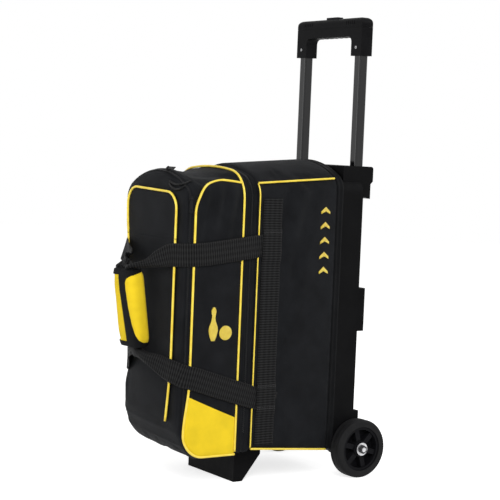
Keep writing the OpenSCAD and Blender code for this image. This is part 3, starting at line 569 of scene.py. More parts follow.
def gusset_outline(y):
    """The gusset's outline, the same at each depth, with squarer shoulders than the main section's."""
    return bag_outline(0 * y + gusset_half, gusset_low, gusset_top + gusset_square,
                       top_corner + gusset_square, crown - gusset_square, lower_corner, main_counts)


def folds(y, middle, half, high):
    """Height of a zip's two folds over its tape: a ridge on each side of the teeth."""
    return high * (mound(y, middle + half, 0.0017) + mound(y, middle - half, 0.0017))


stations = np.linspace(gusset_front, gusset_rear, 41)
gusset_folds = folds(stations, zip_mid, 0.0058, 0.0022) + folds(stations, zip_mid, 0.0115, 0.0013)
gusset = ring_piece("gusset_fabric", stations, gusset_outline, gusset_folds, 0.0025)
wear(gusset, black_cloth)
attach(gusset, "root")
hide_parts("zip_gusset")

zip_nylon, zip_tree, zip_coat = surface("zip_nylon", (0.008, 0.008, 0.009), 0.34,
                                        **{"Specular IOR Level": 0.3})
zip_where = object_place(zip_tree)
zip_noise = mottle(zip_tree, zip_coat, "Roughness", zip_where, 300.0, 0.28, 0.42)
grain(zip_tree, zip_coat, zip_noise, 0.0001)


def row_of(name, block, centres, along, out):
    """Copies of one small block along a line: each copy's axes are the line's direction, the surface's normal
    and their cross product. Returns one piece."""
    along = along / np.linalg.norm(along, axis=1, keepdims=True)
    across = np.cross(out, along)
    across /= np.linalg.norm(across, axis=1, keepdims=True)
    out = np.cross(along, across)
    corners, faces = block
    copies = (centres[:, None] + corners[None, :, :1] * along[:, None]
              + corners[None, :, 1:2] * across[:, None] + corners[None, :, 2:] * out[:, None])
    all_faces = (faces[None] + len(corners) * np.arange(len(centres))[:, None, None]).reshape(-1, 4)
    mesh = bpy.data.meshes.new(name)
    mesh.from_pydata(copies.reshape(-1, 3).tolist(), [], all_faces.tolist())
    mesh.polygons.foreach_set("use_smooth", np.ones(len(mesh.polygons), bool))
    obj = bpy.data.objects.new(name, mesh)
    bpy.context.scene.collection.objects.link(obj)
    return obj


def bead_block(length, width, height):
    """A small rounded bead for teeth and stitches: four ellipses of six points, wide at the middle and small
    at the ends, as corners and quads."""
    rings, sides = 4, 6
    t = np.linspace(-1, 1, rings)
    swell = np.sqrt(np.clip(1 - (0.93 * t) ** 4, 0, 1))
    a = np.linspace(0, 2 * math.pi, sides, endpoint=False)
    corners = np.stack([np.broadcast_to(t[:, None] * length / 2, (rings, sides)),
                        swell[:, None] * np.cos(a) * width / 2, swell[:, None] * np.sin(a) * height / 2], 2)
    i, j = (k.ravel() for k in np.meshgrid(np.arange(rings - 1), np.arange(sides), indexing="ij"))
    after = (j + 1) % sides
    quads = np.stack([i * sides + j, i * sides + after, (i + 1) * sides + after, (i + 1) * sides + j], 1)
    last = (rings - 1) * sides
    caps = [[0, 3, 2, 1], [0, 5, 4, 3],
            [last, last + 1, last + 2, last + 3], [last, last + 3, last + 4, last + 5]]
    return corners.reshape(-1, 3), np.concatenate([quads, np.array(caps)])


def evenly(path, step, values=None):
    """Places an even step apart along a path, with the path's direction at each, or with unit vectors read
    off the values given at the path's places."""
    lengths = np.concatenate([[0], np.cumsum(np.linalg.norm(np.diff(path, axis=0), axis=1))])
    at = np.linspace(0, lengths[-1], max(2, round(lengths[-1] / step) + 1))
    found = np.stack([np.interp(at, lengths, path[:, k]) for k in range(3)], 1)
    way = np.gradient(found, axis=0) if values is None else np.stack(
        [np.interp(at, lengths, values[:, k]) for k in range(3)], 1)
    return found, way / np.linalg.norm(way, axis=1, keepdims=True)


def carried(name, path, profile, across, share=1.0, arch=0.0):
    """A profile of [side, up] pairs carried along a path and closed at both ends; `across` points sideways at
    each place, and the profile's up is the cross product of the path's direction and it. Where the share of
    the width falls below 1 the profile draws together and arches by that much of `arch`."""
    along = np.gradient(path, axis=0)
    along /= np.linalg.norm(along, axis=1, keepdims=True)
    across = across - (across * along).sum(1, keepdims=True) * along
    across /= np.linalg.norm(across, axis=1, keepdims=True)
    up = np.cross(along, across)
    share = np.broadcast_to(share, len(path))[:, None, None]
    side = profile[None, :, :1] * share
    hump = 1 - (profile[None, :, :1] / np.abs(profile[:, 0]).max()) ** 2
    high = profile[None, :, 1:] + arch * (1 - share) * hump
    return grid_piece(name, path[:, None] + side * across[:, None] + high * up[:, None], capped=True)


def zip_teeth(name, path, out, node_name):
    """A coil zip: two rows of nylon loops across the middle line, lying on it turn by turn."""
    block = bead_block(0.0013, 2 * zip_half * 0.62, 0.0017)
    pitch = 0.0021
    middle, along = evenly(path, pitch)
    _, normal = evenly(path, pitch, out)
    sideways = np.cross(normal, along)
    side = np.where(np.arange(len(middle)) % 2, 1.0, -1.0)[:, None]
    teeth = row_of(name, block, middle + sideways * side * zip_half * 0.36 + normal * 0.0009, along, normal)
    wear(teeth, zip_nylon)
    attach(teeth, "root")
    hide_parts(node_name)
    return teeth


def line_round(outline, y, low):
    """The outline at one depth as a line with its outward normals, from the near side's low end over the top
    to the far side's."""
    x, z = (k[0] for k in outline(np.array([y])))
    line = np.stack([x, np.full(len(x), y), z], 1)
    normal = np.cross(np.array([0, 1.0, 0]), np.roll(line, -1, 0) - np.roll(line, 1, 0))
    normal /= np.linalg.norm(normal, axis=1, keepdims=True)
    keep = line[:, 2] > low
    return line[keep], normal[keep]


zip_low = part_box("main_zip")[0].z
zip_line, zip_out = line_round(gusset_outline, zip_mid, zip_low)
zip_teeth("main_zip_teeth", zip_line + zip_out * 0.0002, zip_out, "main_zip")


# ---- Front section ----
# The shoe section: padded polyester, round in plan and in profile at its front edges, with a zip behind them.

front_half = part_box("front_section")[1].x
front_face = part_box("front_section")[0].y
front_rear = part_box("front_section")[1].y
front_low, front_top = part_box("front_section")[0].z, 0.636
side_round, top_round = 0.020, 0.035
toe_height, toe_reach, toe_power = 0.077, 0.058, 2.7
zip_back = 0.012


def rounding(back, radius):
    """How far a rounded edge stands in, `back` metres behind its front: a quarter circle."""
    return radius - np.sqrt(np.clip(radius ** 2 - np.clip(radius - back, 0, radius) ** 2, 0, None))


def squared(back):
    """How much squarer the top gets, `back` metres behind the front: its shoulders rise and widen by this as
    its crown flattens, from the zip to the rear seam, by a smooth step."""
    return 0.021 * smooth(np.clip((back - 0.055) / 0.070, 0, 1))


def front_outline(y, grown=0.0):
    """The front section's outline at each depth: its sides and top draw in towards the front face, and its
    bottom climbs there as a power of the distance."""
    back = np.asarray(y) - front_face
    inset = rounding(back, side_round)
    toe = toe_height * np.clip(1 - back / toe_reach, 0, 1) ** toe_power
    wide = squared(back)
    return bag_outline(front_half - inset + grown, front_low + toe - grown,
                       front_top + wide - rounding(back, top_round) + grown,
                       top_corner + wide - 0.5 * inset + grown,
                       crown - wide, 0.012 + 0.5 * inset, main_counts)


def front_wrinkle(x, y, z):
    """Slack in the front section's cloth: its top sags between the zip and the rear seam, and soft slanting
    folds run low down and by the zip."""
    back = y - front_face
    fade = mound(back, zip_back, 0.02)
    on_top = np.clip((z - front_top) / (0.6 * crown), 0, 1)
    return (0.0012 * np.sin(46 * z + 30 * x) * np.sin(11 * z + 2) * fade
            + 0.0010 * np.sin(70 * z + 90 * y) * mound(z, 0.12, 0.05)
            - 0.0125 * on_top * np.sin(np.pi * np.clip((back - zip_back) / 0.126, 0, 1)) ** 0.8)


slump_low, slump_high, slump_by = 0.26, 0.42, np.array([0.014, 0.010, 0])
slackest, under_strap, toe_lift = 0.282, 0.485, 0.012


def slump(points):
    """The section's slack far side, drawn in below the straps and under the upper one: places moved inwards
    and back, more the further they are from the middle, fading out towards the gusset, and its toe lifted."""
    x, y, z = np.moveaxis(points, -1, 0)
    low = smooth(np.clip((slump_high - z) / (slump_high - slump_low), 0, 1))
    bottom = smooth(np.clip((0.225 - z) / 0.045, 0, 1))
    drawn = (low * (1 + 0.65 * mound(z, slackest, 0.045)) * (1 - 0.22 * bottom)
             + 0.4 * mound(z, under_strap, 0.055))
    share = drawn * np.clip(-x / front_half, 0, 1) ** 1.5 * np.clip((front_face + 0.1 - y) / 0.04, 0, 1)
    lift = (toe_lift * np.clip((0.24 - z) / 0.12, 0, 1) * np.clip((front_face + 0.09 - y) / 0.06, 0, 1)
            * np.clip((front_half - x) / (2 * front_half), 0, 1))
    return points + share[..., None] * slump_by + lift[..., None] * np.array([0, 0, 1.0])


quarter_turn = np.linspace(0, math.pi / 2, 22)
near_stations = front_face + top_round * (1 - np.cos(quarter_turn))
stations = np.concatenate([near_stations, np.linspace(near_stations[-1], front_rear, 19)[1:]])
outline_x, outline_z = front_outline(stations)
front_grid = np.stack([outline_x, np.broadcast_to(stations[:, None], outline_x.shape), outline_z], 2)
front_out = normals_of(front_grid)
zip_folds = folds(stations, front_face + zip_back, 0.0055, 0.0016)[:, None]
front_off = front_wrinkle(*np.moveaxis(front_grid, 2, 0)) + zip_folds
front_grid = slump(front_grid + front_out * front_off[..., None])
front_fabric = grid_piece("front_fabric", front_grid, capped=True)
front_places = places(front_fabric)
held = (front_places[:, 1] < front_face + zip_back + 0.008) | (front_places[:, 1] > front_rear - 0.006)
puff(front_fabric, held | (np.abs(front_places[:, 0]) > front_half - 0.012), 2.0, 0.002)
wear(front_fabric, black_cloth)
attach(front_fabric, "root")
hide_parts("front_section")

front_zip_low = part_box("front_zip")[0].z
zip_line, zip_out = line_round(front_outline, front_face + zip_back, front_zip_low)
zip_lean = math.asin((side_round - zip_back) / side_round)
zip_out = zip_out * math.cos(zip_lean) + np.array([0, -math.sin(zip_lean), 0])
zip_teeth("front_zip_teeth", slump(zip_line + zip_out * 0.0002), zip_out, "front_zip")

enamel_paint = moulded("zip_enamel", (0.014, 0.014, 0.015), 0.28, 700.0, 0.00006)
paint_nodes(enamel_paint, "side_slider", "side_tab", "top_slider", "top_tab", "main_slider", "main_tab")


# ---- Front panel ----
# A padded pocket panel with piping down both sides and over its round top; its upper part is a flap that
# folds forward over the carry strap.

panel_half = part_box("panel_piping")[1].x
panel_low, panel_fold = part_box("panel_piping")[0].z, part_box("front_flap")[0].z
panel_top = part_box("flap_piping")[1].z
panel_corner, panel_drawn, panel_droop, bead = 0.040, 0.0145, 0.006, 0.0025


def panel_half_at(z, inset):
    """Half the panel's width at each height: round top corners, and straight sides that draw in low down."""
    over = np.clip(z - (panel_top - panel_corner), 0, panel_corner - inset)
    drawn = panel_drawn * np.clip((0.28 - z) / 0.14, 0, 1) ** 1.5
    corner = np.sqrt(np.clip((panel_corner - inset) ** 2 - over ** 2, 0, None))
    return panel_half - drawn - panel_corner + corner


def droop(points):
    """The flap's top edge, slack at its near corner: places lowered there by up to 6 mm."""
    low = np.clip((points[..., 0] + 0.09) / 0.18, 0, 1) * np.clip((points[..., 2] - 0.55) / 0.07, 0, 1)
    return points - panel_droop * low[..., None] * np.array([0, 0, 1.0])


def panel_pad(name, low, high, belly, drag, fold_high):
    """A padded panel on the front: a grid from edge to edge whose face swells between its edges and sinks at
    its outer edges, not at the fold, closed by its back."""
    rows, columns = 64, 48
    edge = 2 * bead
    z = low + (high - low) * (1 - np.cos(np.linspace(0, math.pi, rows))) / 2
    f = -np.cos(np.linspace(0, math.pi, columns))
    half = panel_half_at(z, edge)
    x = half[:, None] * f[None]
    zz = np.broadcast_to(z[:, None], x.shape)
    outer = 1 - 2 * (z - low) / (high - low) if fold_high else 2 * (z - low) / (high - low) - 1
    rim = (1 - np.abs(f) ** 10)[None] * (1 - np.clip(outer, 0, 1) ** 24)[:, None]
    face = depth(0.0012) - rim * (0.0006 + belly * (1 - f[None] ** 2) * np.sin(
        np.pi * np.clip((zz - low) / (high - low), 0, 1)) ** 0.6 + drag(x, zz))
    loop = np.concatenate([np.stack([x, face, zz], 2),
                           np.stack([x, np.broadcast_to(depth(0.0046), x.shape), zz], 2)[:, ::-1]], 1)
    pad = grid_piece(name, droop(slump(loop)), capped=True)
    pad.data.set_sharp_from_angle(angle=math.radians(50))
    return pad


lower_pad = panel_pad("front_panel_pad", panel_low + 0.0003, panel_fold - 0.0001, 0.004,
                      lambda x, z: 0.0012 * np.sin(34 * z + 26 * x) * np.sin(7 * (z - panel_fold)) ** 2, True)
upper_pad = panel_pad("front_flap_pad", panel_fold, panel_top - 2 * bead, 0.002,
                      lambda x, z: 0.0005 * np.sin(50 * z - 30 * x) * np.sin(20 * (z - panel_fold)) ** 2,
                      False)
for pad, body, cad_name in ((lower_pad, "root", "front_panel"), (upper_pad, "front_flap", "front_flap")):
    wear(pad, black_cloth)
    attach(pad, body)
    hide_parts(cad_name)

piping_vinyl, piping_tree, piping_coat = surface("yellow_piping", (0.88, 0.66, 0.055), 0.4)
piping_where = object_place(piping_tree)
mottle(piping_tree, piping_coat, "Base Color", piping_where, 60.0, (0.80, 0.57, 0.035), (0.92, 0.72, 0.08))
piping_grain = node(piping_tree, "ShaderNodeTexNoise", {"Vector": piping_where, "Scale": 800.0,
                                                        "Detail": 3.0})
grain(piping_tree, piping_coat, piping_grain.outputs[0], 0.00025)

circle_turn = np.linspace(0, 2 * math.pi, 12, endpoint=False)


def cord_profile(radius):
    """Round profile of a piping bead."""
    return radius * np.stack([np.cos(circle_turn), np.sin(circle_turn)], 1)


def piping(name, path, out, body, *replaced, radius=bead):
    """A run of piping: a cord covered in yellow vinyl, along a path, with `out` the way it stands proud."""
    run = carried(name, path, cord_profile(radius), out)
    wear(run, piping_vinyl)
    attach(run, body)
    if replaced:
        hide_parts(*replaced)
    return run


def arc(centre, radius, start, end, count):
    """Pairs along an arc between two angles in degrees."""
    a = np.radians(np.linspace(start, end, count))
    return np.stack([centre[0] + radius * np.cos(a), centre[1] + radius * np.sin(a)], 1)


def on_front(pairs, back=0.0):
    """[x, z] pairs on the front panel's plane."""
    return np.stack([pairs[:, 0], np.full(len(pairs), depth(back)), pairs[:, 1]], 1)


leg_x = panel_half - bead
corner_x, corner_z = panel_half - panel_corner, panel_top - panel_corner
toward_front = np.array([[0, -1.0, 0]])
over_top = on_front(np.concatenate([
    [[leg_x, z] for z in np.linspace(panel_fold, corner_z, 10)],
    arc((corner_x, corner_z), panel_corner - bead, 0, 90, 12)[1:],
    [[x, panel_top - bead] for x in np.linspace(corner_x, -corner_x, 12)[1:-1]],
    arc((-corner_x, corner_z), panel_corner - bead, 90, 180, 12),
    [[-leg_x, z] for z in np.linspace(corner_z, panel_fold, 10)[1:]]]))
piping("flap_piping_bead", droop(slump(over_top)), np.broadcast_to(toward_front, over_top.shape),
       "front_flap", "flap_piping")
leg_heights = np.linspace(panel_low, panel_fold - 0.0001, 40)
leg_reach = panel_half_at(leg_heights, bead)
leg_sink = 0.006 * np.clip((0.30 - leg_heights) / 0.05, 0, 1)
near_leg = on_front(np.stack([leg_reach, leg_heights], 1))
far_leg = slump(on_front(np.stack([-leg_reach, leg_heights], 1), leg_sink))
piping("panel_piping_near", near_leg, np.broadcast_to(toward_front, near_leg.shape), "root", "panel_piping")
piping("panel_piping_far", far_leg, np.broadcast_to(toward_front, far_leg.shape), "root")


# ---- Side pockets ----
# Each side of the front section carries a flat pocket in black with a yellow lower panel, edged all round
# with piping; the cloth gathers a little under the round top.

pocket_front, pocket_rear = depth(0.025), depth(0.146)
pocket_low, pocket_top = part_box("pocket_piping_near")[0].z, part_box("pocket_piping_near")[1].z
pocket_nose, pocket_toe, pocket_lift = 0.075, 0.050, 0.0031
pocket_lean, lean_over, far_toe_back, piping_off = 0.009, 0.113, 0.016, 0.0027
accent_front, accent_rear = 0.196, 0.147
shoulder = front_top - top_corner


def on_near_side(y, s, off):
    """Places on the front section's near side: s is the height up the side and on round the top corner, and
    off the distance out from the cloth. Near the front edge and the low corner the side rounds inwards."""
    back = y - front_face
    corner = top_corner + squared(back)
    turned = np.clip(s - shoulder, 0, None) / corner
    inset = rounding(back, side_round)
    turn_in = np.arcsin(np.clip(side_round - back, 0, side_round) / side_round)
    low = front_low + toe_height * np.clip(1 - back / toe_reach, 0, 1) ** toe_power
    round_low = 0.012 + 0.5 * inset
    under = 0.2 * (round_low - np.sqrt(round_low ** 2 - np.clip(low + round_low - s, 0, round_low) ** 2))
    x = front_half - inset - under - corner + corner * np.cos(turned) + off * np.cos(turned) * np.cos(turn_in)
    z = np.minimum(s, shoulder) + (corner + off) * np.sin(turned)
    return np.stack([x, y + 0 * s - off * np.sin(turn_in), z], -1)


def up_round(z):
    """Distance up the side for a height, going on round the top corner."""
    turned = np.arcsin(np.clip((z - shoulder) / top_corner, 0, 1))
    return np.where(z > shoulder, shoulder + top_corner * turned, z)


def pocket_edge(s, inset):
    """Front edge of the pocket at each distance up the side: a large round nose above, and below it an edge
    that leans forward by a smooth step to a round toe."""
    top, low = up_round(np.array(pocket_top)) - inset, pocket_low + inset
    over = np.clip(s - (top - pocket_nose + inset), 0, pocket_nose - inset)
    under = np.clip(low + pocket_toe - inset - s, 0, pocket_toe - inset)
    nose = pocket_nose - np.sqrt(np.clip((pocket_nose - inset) ** 2 - over ** 2, 0, None))
    toe = pocket_toe - np.sqrt(np.clip((pocket_toe - inset) ** 2 - under ** 2, 0, None))
    share = np.clip((low + pocket_toe + lean_over - s) / lean_over, 0, 1)
    return pocket_front - pocket_lean * smooth(share) + np.maximum(nose, toe)


def toe_back(s):
    """How far back the far pocket's toe sits behind the near one's: the section is slack there."""
    return far_toe_back * np.clip((0.32 - s) / 0.16, 0, 1)


def accent_line(y):
    """Height of the yellow panel's slanting upper edge."""
    share = (y - pocket_front) / (pocket_rear - pocket_front)
    return accent_front + (accent_rear - accent_front) * share


def pocket_sheet(name, side, low_of, high_of, off, swell):
    """A pocket panel between two edges, each a function of the depth share, on the near side or mirrored: a
    grid from front edge to rear edge with the cloth swelling between its seams."""
    rows, columns = 72, 26
    inset = 0.004
    f = np.linspace(0, 1, columns)[None]
    share = (1 - np.cos(np.linspace(0, math.pi, rows)))[:, None] / 2
    s = low_of(f) + (high_of(f) - low_of(f)) * share
    y_front = pocket_edge(s, inset) + (toe_back(s) if side < 0 else 0)
    y = y_front + (pocket_rear - inset - y_front) * f
    rim = (1 - np.abs(2 * f - 1) ** 8) * (1 - np.abs(2 * share - 1) ** 16)
    grid = on_near_side(y, s, off + rim * swell(y, s))
    grid[..., 0] *= side
    return close_wall(grid_piece(name, slump(grid), around=False, flip=side > 0), 0.0022)


def gathers(y, s):
    """Gathers under the round top that die away down the pocket, over a slight swell."""
    high = np.clip((s - 0.49) / 0.10, 0, 1) * np.clip((top_s + 0.01 - s) / 0.04, 0, 1)
    fan = np.sin(2 * np.pi * (y - pocket_front) / 0.034 - 4 * (s - 0.5) / 0.14)
    return 0.0014 + 0.0028 * high * fan + 0.0004 * np.sin(60 * y + 40 * s)


top_s, low_s = float(up_round(np.array(pocket_top))), pocket_low
inner_rear = pocket_rear - pocket_front
top_droop = 0.007
yellow_cloth = woven("yellow_polyester", (0.84, 0.60, 0.022), 0.0007, 0.55, 0.03, fleck=0.07)
for where, side in (("near", 1), ("far", -1)):
    black_part = pocket_sheet(f"pocket_{where}_cloth", side,
                              lambda f: accent_line(pocket_front + inner_rear * f) + 0.0005,
                              lambda f: top_s - 0.004 - top_droop * f, pocket_lift, gathers)
    yellow_part = pocket_sheet(f"accent_{where}_cloth", side, lambda f: low_s + 0.004 + 0 * f,
                               lambda f: accent_line(pocket_front + inner_rear * f), pocket_lift + 0.0004,
                               lambda y, s: 0.0014 + 0.0004 * np.sin(70 * s + 55 * y))
    for sheet, paint, slot_name, cad_name in (
            (black_part, black_cloth, "black_fabric", f"pocket_{where}"),
            (yellow_part, yellow_cloth, "yellow_fabric", f"accent_{where}")):
        wear(sheet, paint)
        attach(sheet, "root")
        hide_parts(cad_name)
    rise_of = low_s + bead + (top_s - low_s - 2 * bead) * (1 - np.cos(np.linspace(0, math.pi, 140))) / 2
    y_rise = pocket_edge(rise_of, bead)
    s_line = np.concatenate([np.full(10, low_s + bead), rise_of,
                             top_s - bead - top_droop * np.linspace(0.1, 1, 10)])
    y_line = np.concatenate([np.linspace(pocket_rear - bead, y_rise[0], 11)[:-1], y_rise,
                             np.linspace(y_rise[-1], pocket_rear - bead, 11)[1:]])
    if side < 0:
        # Moved back, the first few places all meet the rear seam, where one of them is enough.
        y_line = np.minimum(y_line + toe_back(s_line), pocket_rear - bead)
        first = np.count_nonzero(y_line[:10] == pocket_rear - bead) - 1
        y_line, s_line = y_line[first:], s_line[first:]
    edge = on_near_side(y_line, s_line, piping_off)
    edge_out = on_near_side(y_line, s_line, piping_off + 0.01) - edge
    edge[:, 0] *= side
    edge_out[:, 0] *= side
    piping(f"pocket_{where}_piping", slump(edge), edge_out, "root", f"pocket_piping_{where}")


# ---- Piping between the sections ----
# One run round the rear edge of the front section, over the top, and one round the front edge of the main
# section; two more runs go back along the main section's top and bottom corners.

section_line, section_out = line_round(front_outline, pocket_rear - bead, pocket_low + 0.004)
piping("section_piping_bead", section_line + section_out * piping_off, section_out, "root",
       "section_piping")
edge_y = main_front + 0.0027
for where, side in (("near", 1), ("far", -1)):
    line, out = line_round(main_outline, edge_y, 0.08)
    part = (line[:, 0] * side > 0.122)
    piping(f"main_edge_{where}_piping", line[part] + out[part] * 0.0012, out[part], "root",
           f"main_piping_{where}", radius=0.0015)
    back = np.linspace(0.004, main_rear - main_front - 0.002, 40)
    half_turn = math.sqrt(0.5)
    round_corner = (top_corner + 0.0018) * half_turn - top_corner
    upper = np.stack([side * (bag_half + round_corner) + 0 * back, main_front + back,
                      side_top + rise * back + round_corner], 1)
    upper_out = np.broadcast_to([[side * half_turn, 0, half_turn]], upper.shape)
    piping(f"top_corner_{where}_piping", upper, upper_out, "root", radius=0.0022)
    lower = np.stack([side * (bag_half + 0.0008) + 0 * back, main_front + back,
                      side_low - fall * back + 0.0006], 1)
    lower_out = np.broadcast_to([[side * half_turn, 0, -half_turn]], lower.shape)
    piping(f"bottom_corner_{where}_piping", lower, lower_out, "root", radius=0.0022)


# ---- Webbing ----
# Black polyester webbing: an upright band on each side of the main section, and two loops sewn to it that
# carry the bag. Each loop runs forward along the side and turns on edge into the padded wrap.

webbing_w, webbing_t = 0.048, 0.0024
webbing, web_tree, web_coat = surface("black_webbing", (0.0145, 0.0145, 0.0155), 0.6,
                                      **{"Sheen Weight": 0.012, "Sheen Roughness": 0.4,
                                         "Specular IOR Level": 0.05})
rib_pitch, cord_pitch = 0.0053, 0.0120
web_uv = node(web_tree, "ShaderNodeUVMap", uv_map="cloth").outputs[0]
web_turns = node(web_tree, "ShaderNodeVectorMath",
                 {0: web_uv, 1: (2 * math.pi / cord_pitch, 2 * math.pi / rib_pitch, 0)}, operation="MULTIPLY")
web_waves = node(web_tree, "ShaderNodeVectorMath", {0: web_turns.outputs[0]}, operation="SINE")
web_split = node(web_tree, "ShaderNodeSeparateXYZ", {0: web_waves.outputs[0]})
web_ribs = node(web_tree, "ShaderNodeMath", {0: web_split.outputs[0], 1: 0.35, 2: web_split.outputs[1]},
                operation="MULTIPLY_ADD")
# Painted shade and light: the webbing's colour follows its rib height. It is painted near black in the grooves
# between the ribs and painted lighter on the rib tops, over the bumped ribs.
web_tone = node(web_tree, "ShaderNodeMapRange", {"Value": web_ribs.outputs[0], "From Min": -1.3,
                                                 "From Max": 1.3, "To Min": 0.0, "To Max": 1.0})
web_groove_shade = node(web_tree, "ShaderNodeValToRGB", {"Fac": web_tone.outputs[0]})
web_groove_shade.color_ramp.elements[0].color = (0.001, 0.001, 0.0012, 1)
web_groove_shade.color_ramp.elements[1].color = (0.021, 0.021, 0.0215, 1)
web_tree.links.new(web_groove_shade.outputs[0], web_coat.inputs["Base Color"])
grain(web_tree, web_coat, web_ribs.outputs[0], 0.0004)

strap_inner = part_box("strap_near")[1].x - webbing_t
band_middle = (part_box("side_band_near")[0].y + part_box("side_band_near")[1].y) / 2
band_low, band_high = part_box("side_band_near")[0].z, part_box("side_band_near")[1].z


def flat_profile(width, thickness):
    """Webbing's profile: flat, with ridges where its edges are woven thicker, and round edges."""
    t = np.linspace(-1, 1, 25)
    edge = np.sqrt(np.clip(1 - np.abs(t) ** 12, 0, 1))
    swell = 1 + 0.25 * mound(np.abs(t), 0.9, 0.05)
    top = np.stack([t * width / 2, edge * swell * thickness / 2], 1)
    return np.concatenate([top, (top * [1, -1])[-2:0:-1]])


def webbing_run(name, path, across, cad_name, share=1.0, arch=0.0):
    """A run of webbing: its flat profile, as wide as the webbing, carried along the path."""
    run = carried(name, path, flat_profile(webbing_w, webbing_t), across, share, arch)
    wear(run, webbing)
    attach(run, "root")
    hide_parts(cad_name)
    return run


wrap_middle = (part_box("handle_wrap")[0].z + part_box("handle_wrap")[1].z) / 2
wrap_length, wrap_out, wrap_tilt = 0.164, 0.041, math.radians(8.2)
strap_layer = 0.0016


def wrap_y(z):
    """Depth of the wrap's middle plane at each height: it leans forward towards its top."""
    return -wrap_out - (z - wrap_middle) * math.tan(wrap_tilt)


def smooth_through(values, count):
    """A curve through the given rows: cubic segments with, at each row, the slope of its two neighbours."""
    values = np.asarray(values, float)
    padded = np.concatenate([2 * values[:1] - values[1:2], values, 2 * values[-1:] - values[-2:-1]])
    at = np.linspace(0, len(values) - 1, count)
    k = np.minimum(at.astype(int), len(values) - 2)
    t = (at - k)[:, None]
    p0, p1, p2, p3 = (padded[k + n] for n in range(4))
    return 0.5 * (2 * p1 + (p2 - p0) * t + (2 * p0 - 5 * p1 + 4 * p2 - p3) * t ** 2
                  + (3 * p1 - p0 - 3 * p2 + p3) * t ** 3)


strap_x, sewn_x = strap_inner + webbing_t / 2, bag_half + 0.0003 + webbing_t / 2
wrap_high, wrap_low = wrap_middle + wrap_length / 2, wrap_middle - wrap_length / 2
strap_high, strap_low = wrap_high + 0.036, wrap_low - 0.039


# A row of a loop's route holds the x, depth and height of its middle line, the degrees that its face turns
# forward and its width tilts, and the share of its width that is spread.
def along_side(base, climbs, hug):
    """A loop's run from its sewn end to the front corner, drawn in by `hug`: a row for each height."""
    spots = ((sewn_x, 0.238, 0), (sewn_x, 0.190, 0), (strap_x, 0.148, 0), (strap_x, 0.100, 0),
             (strap_x - hug, 0.060, 0), (strap_x - 0.0015 - hug, 0.034, 4), (0.1321 - hug, 0.0164 + hug, 26))
    return [(x, back, base + climb, turned, 0, 1) for (x, back, turned), climb in zip(spots, climbs)]


def in_wrap(x, z, layer, turned, tilted, share):
    """A row at a height in the wrap's middle plane, off it by the loop's layer."""
    return x, wrap_y(z) + layer, z, turned, tilted, share


for where, side in (("near", 1), ("far", -1)):
    layer = -side * strap_layer
    hug, drop = (0, 0) if side > 0 else (0.0018, 0.003)
    upper = along_side(strap_high, (0.024, 0.019, 0.014, 0.008, 0.003 - drop, 0.001 - drop, -drop), hug)
    if side > 0:
        upper += [(0.1259, 0.0094, strap_high - 0.0005, 45, 0, 1),
                  (0.1190, 0.0045, strap_high - 0.001, 60, 0, 1),
                  (0.1045, -0.0030, strap_high - 0.0015, 72, 0, 1),
                  (0.089, -0.0085, strap_high - 0.0045, 70, 5, 0.95),
                  (0.067, -0.0200, wrap_high + 0.023, 66, 13, 0.74),
                  (0.046, -0.032, wrap_high + 0.013, 64, 28, 0.40),
                  in_wrap(0.026, wrap_high + 0.005, layer, 76, 45, 0.26),
                  in_wrap(0.009, wrap_high, layer, 90, 75, 0.4)]
    else:
        upper += [(0.1262, 0.0088, strap_high - 0.0035, 42, 0, 1),
                  (0.1185, 0.0010, strap_high - 0.004, 50, 0, 1),
                  (0.1045, -0.0085, strap_high - 0.005, 66, 2, 1),
                  (0.087, -0.0125, strap_high - 0.007, 75, 7, 1),
                  (0.065, -0.0185, wrap_high + 0.026, 70, 22, 0.97),
                  (0.041, -0.0290, wrap_high + 0.020, 66, 48, 0.95),
                  in_wrap(0.018, wrap_high + 0.014, layer, 84, 76, 0.95),
                  in_wrap(0.004, wrap_high + 0.004, layer, 90, 88, 0.97)]
    upper += [in_wrap(0, wrap_high - 0.006, layer, 90, 90, 0.97),
              in_wrap(0, wrap_high - 0.030, layer, 90, 90, 1)]
    lower = along_side(strap_low, (-0.075, -0.062, -0.049, -0.034, -0.021, -0.013, -0.009), hug)
    lower += [(0.1259 - hug, 0.0094 + hug, strap_low - 0.006, 45, 0, 1),
              (0.1190 - hug, 0.0045 + hug, strap_low - 0.003, 60, 0, 1),
              (0.1045, -0.0030, strap_low + 0.001, 74, 0, 1),
              (0.089, -0.0065, strap_low + 0.005, 78, 5, 0.95),
              (0.067, -0.014, strap_low + 0.013, 74, 13, 0.78),
              (0.042, -0.025, wrap_low - 0.018, 70, 30, 0.5),
              in_wrap(0.020, wrap_low - 0.010, layer, 80, 55, 0.5),
              in_wrap(0.005, wrap_low - 0.005, layer, 90, 80, 0.7),
              in_wrap(0, wrap_low + 0.006, layer, 90, 90, 0.9),
              in_wrap(0, wrap_low + 0.030, layer, 90, 90, 1)]
    x, back, z, turned, tilted, share = smooth_through(upper + lower[::-1], 300).T
    ups = smooth_through([[1]] * len(upper) + [[-1]] * len(lower), 300)[:, 0]
    turned, tilted = np.radians(turned), np.radians(tilted)
    line = slump(np.stack([side * x, depth(back), z], 1))
    across = np.stack([-side * np.sin(turned) * np.sin(tilted), -np.cos(turned) * np.sin(tilted),
                       ups * np.cos(tilted)], 1)
    if side < 0:
        lean_in = math.radians(16) * mound(x, 0.104, 0.022) * (ups > 0)
        inward = np.stack([np.cos(turned), np.sin(turned), 0 * x], 1)
        across = across * np.cos(lean_in)[:, None] + inward * np.sin(lean_in)[:, None]
    webbing_run(f"strap_{where}_webbing", line, across * side, f"strap_{where}", share,
                arch=-0.012 if side > 0 else 0.010)

